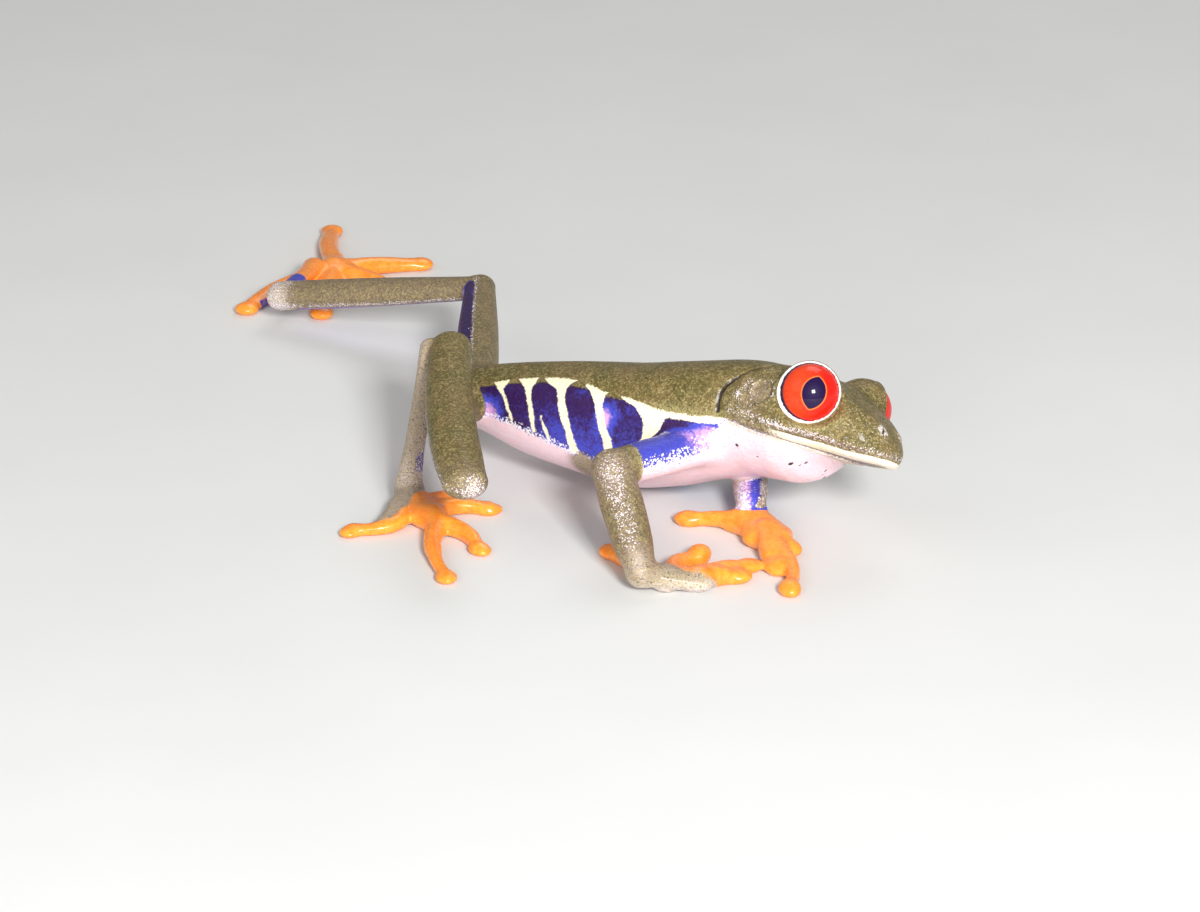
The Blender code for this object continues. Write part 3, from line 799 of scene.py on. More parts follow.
def net_over(values, low, step):
    """Points and quads of the surface where the values change sign."""
    inside = values < 0
    count = np.zeros(tuple(n - 1 for n in values.shape), np.uint8)
    corners = [(i, j, k) for i in (0, 1) for j in (0, 1) for k in (0, 1)]
    size = count.shape
    for i, j, k in corners:
        count += inside[i : i + size[0], j : j + size[1], k : k + size[2]]
    cells = np.argwhere((count > 0) & (count < 8))
    at = {c: values[cells[:, 0] + c[0], cells[:, 1] + c[1], cells[:, 2] + c[2]] for c in corners}
    total = np.zeros((len(cells), 3))
    hits = np.zeros(len(cells))
    for c in corners:
        for axis in range(3):
            if c[axis]:
                continue
            other = tuple(1 if n == axis else v for n, v in enumerate(c))
            one, two = at[c], at[other]
            cross = (one < 0) != (two < 0)
            t = one / np.where(cross, one - two, 1.0)
            for n in range(3):
                total[:, n] += cross * (c[n] + (t if n == axis else 0.0))
            hits += cross
    points = low + (cells + total / hits[:, None]) * step
    keys = (cells[:, 0] * size[1] + cells[:, 1]) * size[2] + cells[:, 2]
    quads = []
    for axis in range(3):
        u, v = [n for n in range(3) if n != axis]
        here = tuple(slice(1 if n != axis else 0, size[n]) for n in range(3))
        step_on = tuple(slice(1, size[n] + (1 if n == axis else 0)) for n in range(3))
        first = inside[here]
        then = inside[step_on]
        edges = np.argwhere(first != then) + [0 if n == axis else 1 for n in range(3)]
        outward = inside[edges[:, 0], edges[:, 1], edges[:, 2]]
        ring = []
        for du, dv in ((-1, -1), (0, -1), (0, 0), (-1, 0)):
            cell = edges.copy()
            cell[:, u] += du
            cell[:, v] += dv
            ring.append(np.searchsorted(keys, (cell[:, 0] * size[1] + cell[:, 1]) * size[2] + cell[:, 2]))
        ring = np.stack(ring, 1)
        flip = outward if axis != 1 else ~outward
        ring[~flip] = ring[~flip][:, ::-1]
        quads.append(ring)
    return points, np.concatenate(quads)


def settle(frog, points, rounds=2):
    """Moves points on to the exact surface along the field's slope."""
    h = 0.05
    for _ in range(rounds):
        d = in_chunks(frog.field, points)
        ways = h * np.eye(3)
        ahead, behind = ([in_chunks(frog.field, points + sign * way) for way in ways] for sign in (1, -1))
        slope = (np.stack(ahead, 1) - np.stack(behind, 1)) / (2 * h)
        size = np.maximum((slope**2).sum(1), 0.2)
        points = points - slope * (np.clip(d, -0.15, 0.15) / size)[:, None]
    return points


def set_values(mesh, name, values):
    made = mesh.attributes.new(name, "FLOAT", "POINT")
    made.data.foreach_set("value", np.asarray(values, np.float32))


def flank_marks(s, angle):
    """Signed distances in mm, positive inside: olive back, cream bars, pale belly; and the flank's tone."""
    degree = 0.12
    top = through(OLIVE_EDGE, s)
    patch = np.minimum(through(PATCH_TOP, s), top)
    bottom = through(BELLY_EDGE, s)
    bars = np.full(len(s), -9.0)
    for rows in BARS:
        rows = rows[::-1]
        at = np.clip(angle, rows[0][0], rows[-1][0])
        one = np.minimum(s - through(rows, at, 1), through(rows, at, 2) - s)
        one = np.minimum(one, 0.1 + (angle - rows[0][0]) * degree)
        one = np.minimum(one, 0.1 + (rows[-1][0] + 3 - angle) * degree)
        bars = np.maximum(bars, one)
    low = through(BAND_LOW, s)
    bars = np.maximum(bars, np.minimum((angle - low) * degree, (s - 31.5) * 0.5))
    olive = np.maximum((angle - top) * degree, np.minimum((angle - patch) * degree, -bars - 0.04))
    belly = (bottom - angle) * degree
    share = np.clip((top - angle) / np.maximum(top - bottom, 6.0), 0, 1)
    tone = 0.1 + 0.9 * rise(share, 0.3, 1.0) * rise(s, 13, 20) + 0.25 * rise(s, 24, 29)
    tone += 2.1 * rise(share, 0.2, 0.9) * (1 - rise(s, 10.4, 13.0))
    tone += sum(much * blot(s, angle, *place) for much, *place in BLOTS)
    return olive, bars, belly, tone


def blot(s, angle, s0, angle0, long, tall):
    return np.exp(-(((s - s0) / long) ** 2) - ((angle - angle0) / tall) ** 2)


# pale sets the share of granules painted as glints, which are painted highlights; partly it is pale grain,
# and it also places the beads.
KEYS = ("olive", "bars", "belly", "tone", "pale", "grey", "cream", "orange", "hollow")
# Of these keys, the hollows' value is painted shade in the hollows of the soles and palms.
PLAIN = {"tone": 1.0, "pale": 0.0, "grey": 0.0, "cream": 0.0, "hollow": 0.0}


class Marks:
    """Blends the values that each part of the frog gives to the skin points near it."""

    def __init__(self, count, least):
        self.least = least
        self.total = {name: np.zeros(count) for name in KEYS}
        self.weights = np.zeros(count)

    def add(self, d, **values):
        weight = np.exp(-np.clip(d - self.least, 0, 9) / 0.2)
        self.weights += weight
        for name in KEYS:
            self.total[name] += weight * values.get(name, PLAIN.get(name, -2.0))

    def blended(self):
        return {name: values / self.weights for name, values in self.total.items()}


def mark(frog, p):
    """Values at each skin point for the skin's material."""
    least = frog.body.distance(p)
    fields = []
    for part in frog.parts:
        d = np.full(len(p), 9.0)
        near = within(p, part.low, part.high_corner)
        d[near] = part.distance(p[near])
        fields.append(d)
        least = np.minimum(least, d)
    marks = Marks(len(p), least)
    head = of_head(p)
    mouth = head[:, 2] - through(MOUTH, head[:, 0])
    q = np.column_stack([head[:, 0], np.abs(head[:, 1]), head[:, 2]])
    body = frog.body.distance(p)
    marks.add(body, **body_marks(frog, p, q, mouth))
    for part, d in zip(frog.parts, fields):
        if isinstance(part, Limb):
            marks.add(d, **limb_marks(part, p))
        elif isinstance(part, Digit):
            marks.add(d, **digit_marks(part, p))
        else:
            marks.add(d, **palm_marks(part, p))
    total = marks.blended()
    on_head = (q[:, 0] > -3.5) & (body < 0.7)
    total["ahead"] = np.where(body < 0.7, q[:, 0], -9.0)
    total["mouth"] = np.where((q[:, 0] > -0.5) & (body < 0.5), mouth, 5.0)
    lines = head_lines(q)
    for name, values in lines.items():
        total[name] = np.where(on_head & ((name != "brow") | (head[:, 1] < 0)), values, 5.0)
    total["rim"] = np.maximum(*(eye.rim_mark(p) for eye in frog.eyes))
    return total


def body_marks(frog, p, q, mouth):
    """Values for the points of the trunk and the head."""
    s, side, up, wide, high, _ = frog.body.coordinates(p)
    angle = np.degrees(np.arctan2(up / high, np.abs(side) / wide))
    olive, bars, belly, tone = flank_marks(s + np.where(side > 0, 0.5, 0.0), angle)
    ahead = q[:, 0]
    on_head = rise(ahead, -1.5, 0.6)
    olive = olive * (1 - on_head) + mouth * on_head
    belly = belly * (1 - on_head) - mouth * on_head
    bars = bars * (1 - on_head) - 2.0 * on_head
    pale, grey, cream = head_greys(q, ahead, mouth)
    cream += 0.35 * ridge(olive - 0.3, 0.5) * rise(s, 29, 32) * (1 - on_head)
    loose = blot(s, angle, 22.0, -55, 1.6, 17) * (side < 0)
    olive = np.maximum(olive, 1.4 * loose - 0.5)
    pale = pale * (ahead > -3) + 0.03
    grey = grey * (ahead > -3) + np.minimum(3.5 * loose, 1.45)
    found = {"olive": olive, "bars": bars, "belly": belly, "tone": tone}
    return {**found, "pale": pale, "grey": grey, "cream": cream}


def head_greys(q, ahead, mouth):
    """Pale grains and painted glints, grey and cream of the head: lines, lip, eardrum, nostril and cheek.
    """
    drum, nostril, cheek = away(q, TYMPANUM), away(q, NOSTRIL), ridge(away(q, CHEEK), 2.0)
    pale = lines_of(q, GLINT_LINES) + 0.1 * cheek
    # A row of painted glints above the lip.
    pale += 0.7 * ridge(mouth - 1.05, 0.26) * rise(ahead, 2.0, 4.0) * (1 - 0.6 * rise(ahead, 8.0, 11.0))
    pale += 0.35 * ridge(drum - DRUM, 0.12) + 0.75 * ridge(nostril - 0.42, 0.22)
    pale += 0.05 * rise(ahead, -1.0, 2.0) + 0.06 * rise(ahead, 8.0, 10.0)
    grey = 2.7 * ridge(nostril, 0.4) + 0.5 * (1 - rise(drum, 1.0, 1.35)) + 0.55 * cheek
    grey += 0.6 * ridge(mouth - 0.85, 0.35) * rise(ahead, 2.0, 5.0)
    grey += 0.5 * ridge(mouth - 0.2, 0.6) * rise(ahead, -0.5, 0.8) * (1 - rise(ahead, 2.5, 5.0))
    return pale, grey, lines_of(q, CREAM_LINES) + ridge(nostril, 0.55)


def lines_of(q, table):
    return sum(much * ridge(from_line(q, points)[0], width) for much, width, points in table)


def limb_marks(part, p):
    """Values for the points round a limb segment."""
    t, v, wide, high = part.parts(p)
    around = v - (v @ part.ahead)[:, None] * part.ahead
    r = np.maximum(np.linalg.norm(around, axis=1), 1e-6)
    face = (around @ part.outer) / r
    olive = (face - part.edge) * 0.5 * (wide + high)
    kind, word = part.name.rsplit("_", 1)
    found = LIMB_MARKS[kind](part, word == "right", t, around / r[:, None], olive, face)
    for limbs, place, width, pale, grey in SHEEN_SPOTS:
        if part.name in limbs:
            spot = ridge(away(p, place), width)
            found["pale"] = found.get("pale", 0.0) + pale * spot
            found["grey"] = found.get("grey", 0.0) + grey * spot
    return found


def thigh_marks(part, near, t, around, olive, face):
    if near:
        olive = olive + 3.0 * rise(t, 0.55, 0.8)
        pale = 0.5 * ridge(t - 1.0, 0.03) * rise(around @ unit((0.0, -0.3, -1.0)), -0.2, 0.6)
        return {"olive": olive, "tone": 0.2, "pale": pale}
    tone = 0.15 + 1.9 * rise(-face, 0.75, 1.0)
    return {"olive": olive, "tone": tone, "pale": 0.1 + 0.5 * ridge(olive, 0.25), "grey": 0.3}


def shank_marks(part, near, t, around, olive, face):
    if near:
        under = around @ unit((0.0, -0.3, -1.0))
        # Painted sheen on the knee: pale glints and lighter grey.
        pale = 0.65 * ridge(t, 0.07) * rise(around @ unit((0.77, -0.6, 0.19)), 0.5, 0.95)
        pale += 0.35 * ridge(around @ part.side - 1.0, 0.03) + 0.03
        grey = 0.35 * ridge(t, 0.06) + 0.1 * rise(under, 0, 1)
        return {"olive": olive + 1.0, "tone": 0.4, "pale": pale, "grey": grey}
    heel = rise(t, 0.88, 0.97)
    # A line of painted glints along the lower edge of the far shank.
    pale = 0.7 * ridge(face + 0.08, 0.16) + 0.6 * heel
    grey = 0.65 + 1.3 * heel + 0.4 * ridge(olive, 0.4)
    return {"olive": olive + 1.2 * heel, "tone": 1.6, "pale": pale, "grey": grey}


def tarsus_marks(part, near, t, around, olive, face):
    pale = 0.05 + 0.15 * rise(t, 0.75, 1.0)
    if not near:
        orange = (t - 0.5) * part.length
        return {"olive": (0.25 - t) * 6.0, "tone": 1.05, "pale": pale, "grey": 1.2, "orange": orange}
    inner = around @ unit((1.0, -0.15, 0.1))
    pale = pale + 0.35 * ridge(inner - 0.97, 0.1)
    above = 1 - rise(t, 0.72, 0.8)
    olive = np.minimum(olive + 1.4 * above, (0.88 - inner) * 2.4 + 3.0 * above)
    olive = np.maximum(olive, 2.0 * rise(t, 0.93, 0.98))
    grey = 1.55 + 0.3 * rise(t, 0.75, 1.0)
    return {"olive": olive, "tone": 1.05, "pale": pale, "grey": grey, "orange": -2.0 - inner}


def upper_arm_marks(part, near, t, around, olive, face):
    if not near:
        return {"olive": -2.0, "tone": 1.2, "belly": (0.3 - around @ unit((-0.2, 0.9, 0.3))) * 1.8}
    olive = (t - 0.80) * part.length + 0.3 * face
    under = around @ unit((0.75, -0.1, -0.66))
    belly = np.minimum((under - 0.72) * 2.0, (0.86 - t) * 6.0)
    belly = np.maximum(belly, -0.4 - 2.4 * t)
    rear = around @ unit((-1.0, 0.1, -0.4))
    belly = np.maximum(belly, np.minimum((rear - 0.4) * 1.8, (0.72 - t) * 6.0))
    tone = 1.9 - 0.9 * rise(t, 0.1, 0.4)
    cream = 0.6 * ridge(olive + 0.1, 0.5) * rise(around @ unit((1.0, -0.3, 0.3)), 0.2, 0.8)
    grey = 0.5 * rise(rear, 0.0, 0.8)
    return {"olive": olive, "tone": tone, "belly": belly, "cream": cream, "grey": grey}


def forearm_marks(part, near, t, around, olive, face):
    if not near:
        left = around @ unit((-0.9, -0.45, 0.1))
        right = around @ unit((0.9, 0.4, 0.2))
        tone = 1.0 + 0.9 * rise(left, -0.25, 0.35) - 0.1 * rise(t, 0.6, 1.0)
        olive, belly = (right - 0.75) * 1.8, (left - 0.88) * 1.5
        return {"olive": olive, "tone": tone, "pale": 0.5, "grey": 1.0, "belly": belly}
    # Painted glints along the forearm's outer side, and lighter grey there as painted sheen.
    glint = around @ unit((0.42, -0.86, 0.28))
    pale = 0.62 * ridge(glint - 1.0, 0.22) * rise(t, -0.15, 0.15) + 0.04
    right = around @ unit((0.9, -0.2, -0.1))
    cream = 0.75 * rise(right, 0.72, 0.98) * (1 - rise(t, 0.45, 0.75))
    rear = around @ unit((-1.0, 0.0, -0.3))
    under = around @ unit((0.1, -0.5, -0.86))
    wrist = rise(t, 0.72, 0.98)
    grey = 1.1 * pale + 0.25 + 0.6 * rise(rear, 0.2, 0.9) + wrist * (0.9 + 1.2 * rise(under, 0.2, 0.9))
    pale = pale * (1 - 0.6 * wrist)
    return {"olive": olive + 1.0, "tone": 1.2, "pale": pale, "grey": grey, "cream": cream}


LIMB_MARKS = {
    "thigh": thigh_marks,
    "shank": shank_marks,
    "tarsus": tarsus_marks,
    "upper_arm": upper_arm_marks,
    "forearm": forearm_marks,
}


def plain_side(name, p):
    """Signed distance in mm past the line where the sole or palm turns orange."""
    at, way = ORANGE[name]
    return (p[:, :2] - np.array(at)) @ unit(way)


# Painted shade fills the hollow of each sole and palm and the pits and grooves between its digits; on the
# near hand it also deepens along the orange's edge.
def palm_marks(part, p):
    orange = plain_side(part.name, p)
    flat = p[:, :2]
    if part.name == "foot_left":
        return {"olive": -2.0, "tone": 1.55, "orange": orange, "hollow": 0.0, "belly": -0.2}
    if part.name == "hand_left":
        hollow = 0.7 * ridge(from_line(flat, ((26.0, -15.3), (28.6, -15.3)))[0], 0.3)
        return {"olive": -2.0, "tone": 1.55, "orange": orange, "hollow": hollow, "belly": -0.2}
    if part.name == "foot_right":
        orange = np.minimum(orange, 2.7 - p[:, 2])
        hollow = 0.7 * ridge(away(p, (-7.8, -20.4, 1.2)), 1.7)
        hollow += 0.8 * np.maximum(*(ridge(away(flat, pit), 0.2) for pit in ((-6.4, -25.9), (-3.5, -24.8))))
        hollow += 0.3 * ridge(from_line(flat, ((-8.5, -20.5), (-4.0, -26.0)))[0], 0.25)
        return {"olive": 2.0, "pale": 0.12, "grey": 1.55, "orange": orange, "hollow": hollow}
    hollow = 1.2 * ridge(away(flat, (24.2, -24.6)), 1.2) + 0.6 * ridge(orange - 0.2, 0.5)
    orange = orange + 1.3 * (p[:, 2] - 0.9)
    grey = 1.3 + 1.3 * rise(1.9 - p[:, 2], 0.0, 1.5)
    return {"olive": 2.0, "pale": 0.1, "grey": grey, "cream": 0.15, "orange": orange, "hollow": hollow}


def digit_marks(part, p):
    """Values for a digit, whose orange starts some way along it, at a line of the palm, or right away."""
    along = (p[:, :2] - part.origin) @ unit(part.path[-1][:2] - part.origin)
    if part.name == "foot_right_4":
        orange = np.maximum(plain_side("foot_right", p), -27.3 - p[:, 1])
    elif part.limb != "hand_right":
        orange = 2.0
    elif part.name in ORANGE_START:
        orange = along - ORANGE_START[part.name]
    else:
        orange = np.maximum(plain_side("hand_right", p), along - 5.0)
    if "left" in part.name:
        return {"olive": -2.0, "tone": 1.55, "orange": orange}
    return {"olive": 2.0, "pale": 0.1, "grey": 1.9 if part.limb == "hand_right" else 1.5, "orange": orange}


def head_lines(q):
    """Distances in mm to the fine lines and specks of the head."""
    fold, brow, slit = (from_line(q, points)[0] for points in (CREASE, BROW, SLIT))
    specks = np.full(len(q), 5.0)
    for a, l, u, size in SPECKS:
        v = q - (a, l, u)
        outward = unit((0.0, l, u))
        v = v - 0.85 * (v @ outward)[:, None] * outward
        specks = np.minimum(specks, np.linalg.norm(v, axis=1) - size)
    drum = np.abs(away(q, TYMPANUM) - DRUM)
    return {"fold": fold, "brow": brow, "slit": slit, "specks": specks, "drum": drum}


def mesh_of(name, points, faces):
    """A mesh object at the origin, its place in its points, which come in mm in the frog's own frame."""
    data = bpy.data.meshes.new(name)
    data.from_pydata([], [], [])
    data.vertices.add(len(points))
    data.vertices.foreach_set("co", ((points + SHIFT) * MM).astype(np.float32).reshape(-1))
    sides = faces.shape[1]
    data.loops.add(faces.size)
    data.loops.foreach_set("vertex_index", faces.astype(np.int32).reshape(-1))
    data.polygons.add(len(faces))
    data.polygons.foreach_set("loop_start", np.arange(0, faces.size, sides, dtype=np.int32))
    data.update(calc_edges=True)
    data.validate()
    thing = bpy.data.objects.new(name, data)
    bpy.context.scene.collection.objects.link(thing)
    data.shade_smooth()
    return thing


def points_of(mesh):
    co = np.empty(len(mesh.vertices) * 3, np.float32)
    mesh.vertices.foreach_get("co", co)
    return co.reshape(-1, 3).astype(float) / MM - SHIFT


def apply_modifiers(thing):
    graph = bpy.context.evaluated_depsgraph_get()
    graph.update()
    old = thing.data
    thing.data = bpy.data.meshes.new_from_object(thing.evaluated_get(graph))
    thing.modifiers.clear()
    bpy.data.meshes.remove(old)
    thing.data.name = thing.name


class Nodes:
    """Short calls that add shader nodes to a tree and link them."""

    def __init__(self, tree):
        self.tree = tree

    def add(self, kind, **settings):
        made = self.tree.nodes.new(kind)
        for key, value in settings.items():
            setattr(made, key, value)
        return made

    def put(self, value, socket):
        if isinstance(value, bpy.types.NodeSocket):
            self.tree.links.new(value, socket)
        else:
            socket.default_value = value

    def fill(self, node, values):
        for key, value in values.items():
            self.put(value, node.inputs[key])

    def math(self, operation, a, b=0.0):
        made = self.add("ShaderNodeMath", operation=operation)
        self.fill(made, {0: a, 1: b})
        return made.outputs[0]

    def plus(self, a, b, much=None):
        return self.math("ADD", a, b if much is None else self.times(b, much))

    def minus(self, a, b):
        return self.math("SUBTRACT", a, b)

    def times(self, a, b):
        return self.math("MULTIPLY", a, b)

    def mix(self, share, a, b):
        made = self.add("ShaderNodeMix", data_type="RGBA")
        self.fill(made, {0: share, 6: a, 7: b})
        return made.outputs[2]

    def value(self, name):
        return self.add("ShaderNodeAttribute", attribute_name=name).outputs["Fac"]

    def smooth(self, value, low, high):
        made = self.add("ShaderNodeMapRange", interpolation_type="SMOOTHSTEP")
        self.fill(made, {"Value": value, "From Min": low, "From Max": high})
        return made.outputs[0]

    def band(self, value, middle, outer, inner):
        """1 within inner of the middle and 0 beyond outer."""
        return self.smooth(self.math("ABSOLUTE", self.minus(value, middle)), outer, inner)

    def over(self, base, top, value, low, high, much=None):
        """Lays a colour over another where a value passes from low to high, by much at most."""
        mask = self.smooth(value, low, high)
        return self.mix(mask if much is None else self.times(mask, much), base, top)

    def noise(self, vector, scale, detail=2.0):
        made = self.add("ShaderNodeTexNoise")
        self.fill(made, {"Vector": vector, "Scale": scale, "Detail": detail})
        return made.outputs[0]

    def group(self, tree, **inputs):
        made = self.add("ShaderNodeGroup", node_tree=tree)
        self.fill(made, {key.replace("_", " "): value for key, value in inputs.items()})
        return made.outputs


def group_of(name, inputs, outputs):
    tree = bpy.data.node_groups.new(name, "ShaderNodeTree")
    for key, kind, default in inputs:
        made = tree.interface.new_socket(key, in_out="INPUT", socket_type="NodeSocket" + kind)
        if default is not None:
            made.default_value = default
    for key, kind in outputs:
        tree.interface.new_socket(key, in_out="OUTPUT", socket_type="NodeSocket" + kind)
    given, out = tree.nodes.new("NodeGroupInput").outputs, tree.nodes.new("NodeGroupOutput").inputs
    return tree, Nodes(tree), given, out


def grain_group():
    """Raised granules of a chosen size: height, a random value for each, and a slow variation."""
    if "Granular skin" in bpy.data.node_groups:
        return bpy.data.node_groups["Granular skin"]
    tree, n, given, out = group_of(
        "Granular skin",
        (("Vector", "Vector", None), ("Granules per mm", "Float", 3.0), ("Slow per mm", "Float", 0.3)),
        (("Height", "Float"), ("Random", "Float"), ("Slow", "Float")),
    )
    in_mm = n.add("ShaderNodeVectorMath", operation="SCALE")
    n.fill(in_mm, {0: given["Vector"], "Scale": 1 / MM})
    place = in_mm.outputs[0]
    cells = n.add("ShaderNodeTexVoronoi")
    n.fill(cells, {"Vector": place, "Scale": given["Granules per mm"]})
    distance = cells.outputs["Distance"]
    split = n.add("ShaderNodeSeparateColor")
    n.put(cells.outputs["Color"], split.inputs[0])
    dome = n.minus(1.0, n.times(distance, distance))
    n.put(n.plus(dome, n.noise(place, n.times(given["Granules per mm"], 3.0)), 0.35), out["Height"])
    n.put(split.outputs[0], out["Random"])
    n.put(n.noise(place, given["Slow per mm"], 3.0), out["Slow"])
    return tree


def new_material(name, painter=Nodes, *more):
    made = bpy.data.materials.new(name)
    made.use_nodes = True
    return made, painter(made.node_tree, *more), made.node_tree.nodes["Principled BSDF"]


class SkinPaint(Nodes):
    """The skin's layers of colour, from the flank up to the finest lines."""

    def __init__(self, tree, colours, grain):
        super().__init__(tree)
        self.colours = colours
        place = self.add("ShaderNodeTexCoord").outputs["Object"]
        self.fine, self.middling, self.tiny, self.coarse = (
            self.group(grain, Vector=place, Granules_per_mm=size, Slow_per_mm=slow)
            for size, slow in ((4.0, 0.35), (5.8, 0.5), (8.0, 0.8), (1.3, 1.6))
        )
        self.wobble = self.minus(self.coarse["Slow"], 0.5)
        self.speckle = self.minus(self.fine["Random"], 0.5)
        self.crisp = self.minus(self.tiny["Random"], 0.5)

    def edge(self, name, soft, slow, quick):
        """1 inside a marking, with a slow and a quick unevenness along its edge."""
        value = self.plus(self.value(name), self.wobble, slow)
        return self.smooth(self.plus(value, self.crisp, quick), -soft, soft)

    def flank(self):
        c = self.colours
        tone = self.plus(self.plus(self.value("tone"), self.wobble, 0.7), self.speckle, 0.4)
        colour = self.over(c.purple, c.blue, tone, 0.1, 1.1)
        colour = self.over(colour, c.pink, tone, 1.2, 2.2)
        colour = self.mix(self.times(self.edge("olive", 0.35, 0.3, 0.3), 0.9), colour, c.olive_dark_and_gap_shade)
        colour = self.mix(self.edge("bars", 0.08, 0.2, 0.17), colour, c.cream)
        stipple = self.minus(self.plus(self.value("belly"), 1.15), self.times(self.middling["Random"], 1.1))
        dots = self.times(self.smooth(stipple, 0.0, 0.25), self.smooth(self.middling["Height"], 0.6, 0.85))
        return self.mix(dots, colour, c.stipple)

    def throat(self):
        c = self.colours
        colour = self.over(c.belly, c.belly_pink, self.coarse["Slow"], 0.3, 0.75)
        colour = self.over(colour, c.belly_pink, self.tiny["Height"], 1.1, 0.4)
        return self.over(colour, c.stain, self.value("grey"), 0.0, 1.0, 0.75)

    def olive(self):
        """The back and the limbs: greys and creams, then the granules with painted shade in their gaps and
        painted glints on their tops.
        """
        c, grey = self.colours, self.value("grey")
        colour = self.over(c.olive, c.olive_brown, self.fine["Slow"], 0.35, 0.68)
        colour = self.mix(grey, colour, c.grey)
        colour = self.over(colour, c.ash, grey, 1.0, 2.0)
        colour = self.over(colour, c.belly, self.plus(grey, self.speckle, 0.3), 2.0, 3.0)
        creamy = self.times(self.value("cream"), self.smooth(self.tiny["Random"], 0.0, 0.7))
        colour = self.mix(creamy, colour, c.pale_yellow)
        light = self.mix(0.6, colour, c.olive_light)
        colour = self.over(colour, light, self.plus(self.middling["Random"], self.wobble), 0.25, 1.2)
        # Painted shade in the gaps between the granules.
        gap = self.mix(0.85, colour, c.olive_dark_and_gap_shade)
        colour = self.over(colour, gap, self.middling["Height"], 0.85, 0.25, 0.8)
        gap = self.mix(0.7, colour, c.olive_dark_and_gap_shade)
        colour = self.over(colour, gap, self.tiny["Height"], 1.0, 0.35, 0.5)
        # Painted highlights: a share of the granule tops, set by the pale value, takes the glint colour.
        glint = self.plus(self.value("pale"), self.minus(self.tiny["Random"], 1.0))
        glint = self.times(self.smooth(glint, 0.0, 0.3), self.smooth(self.tiny["Height"], 0.7, 0.95))
        return self.mix(glint, colour, c.painted_glint)

    def orange(self):
        c = self.colours
        colour = self.over(c.orange, c.orange_light, self.coarse["Slow"], 0.3, 0.72)
        # Painted shade between the granules, and below in the hollows.
        colour = self.over(colour, c.orange_hollow_shade, self.tiny["Height"], 1.0, 0.3, 0.2)
        hollow = self.plus(self.value("hollow"), self.wobble, 0.6)
        return self.over(colour, c.orange_hollow_shade, hollow, 0.05, 1.1)

    def with_mouth(self, colour):
        """Adds the jaw's edge, the pale lip, the painted shade over it and a line of painted shade along
        the mouth.
        """
        c, mouth, ahead = self.colours, self.value("mouth"), self.value("ahead")
        jaw = self.times(self.band(mouth, -0.22, 0.2, 0.1), self.smooth(self.tiny["Random"], -0.2, 0.6))
        colour = self.mix(jaw, colour, self.mix(0.5, c.olive_brown, c.lip))
        front = self.smooth(self.plus(ahead, self.crisp, 1.2), 3.4, 6.2)
        top = self.smooth(self.plus(mouth, self.crisp, 0.08), 0.6, 0.5)
        lip = self.times(self.times(self.smooth(mouth, -0.02, 0.05), front), top)
        colour = self.mix(lip, colour, self.over(c.lip, c.cream, self.fine["Slow"], 0.3, 0.7))
        shade = self.times(front, self.smooth(ahead, 9.5, 6.5))
        shade = self.times(self.times(shade, self.band(mouth, 0.64, 0.08, 0.03)), 0.55)
        colour = self.mix(shade, colour, c.crease_shade_and_speck)
        # A line of painted shade along the closed mouth.
        line = self.times(self.band(mouth, -0.03, 0.07, 0.03), 0.6)
        return self.mix(line, colour, self.mix(0.5, c.crease_shade_and_speck, c.olive_brown))

    def with_lines(self, colour):
        """Adds the lids' rims, painted shade in the folds, and the dark specks."""
        c = self.colours
        # The pale rim of the lid, flecked with the painted glint colour.
        rim = self.over(c.lid, c.painted_glint, self.tiny["Random"], 0.2, 0.9)
        colour = self.over(colour, rim, self.plus(self.value("rim"), self.crisp, 0.03), -0.02, 0.04)
        # Painted shade in the folds.
        for name, half, much in FOLDS:
            colour = self.over(colour, c.crease_shade_and_speck, self.value(name), half, half * 0.4, much)
        return self.over(colour, c.crease_shade_and_speck, self.plus(self.value("specks"), self.crisp, 0.1), 0.03, -0.04)


def skin_material(colours, grain):
    made, n, shader = new_material("living_skin", SkinPaint, colours, grain)
    colour = n.mix(n.edge("belly", 0.12, 0.4, 0.5), n.flank(), n.throat())
    colour = n.mix(n.edge("olive", 0.09, 0.2, 0.24), colour, n.olive())
    orange = n.edge("orange", 0.22, 0.7, 0.3)
    colour = n.with_lines(n.mix(orange, n.with_mouth(colour), n.orange()))
    bump = n.add("ShaderNodeBump")
    height = n.plus(n.times(n.tiny["Height"], 0.8), n.fine["Height"], 0.6)
    n.fill(bump, {
        "Distance": 0.00009,
        "Strength": n.minus(0.8, n.times(orange, 0.62)),
        "Height": n.plus(height, n.coarse["Slow"], 1.5),
    })
    rough = n.plus(0.36, n.tiny["Random"], 0.2)
    n.fill(shader, {
        "Base Color": colour,
        "Roughness": n.minus(rough, n.times(orange, 0.16)),
        "Normal": bump.outputs[0],
        "Subsurface Weight": 0.1,
        "Subsurface Radius": (1.0, 0.4, 0.25),
        "Subsurface Scale": 0.0006,
        "Specular IOR Level": 0.35,
        "Coat Weight": n.plus(0.12, orange, 0.3),
        "Coat Roughness": 0.15,
    })
    return made


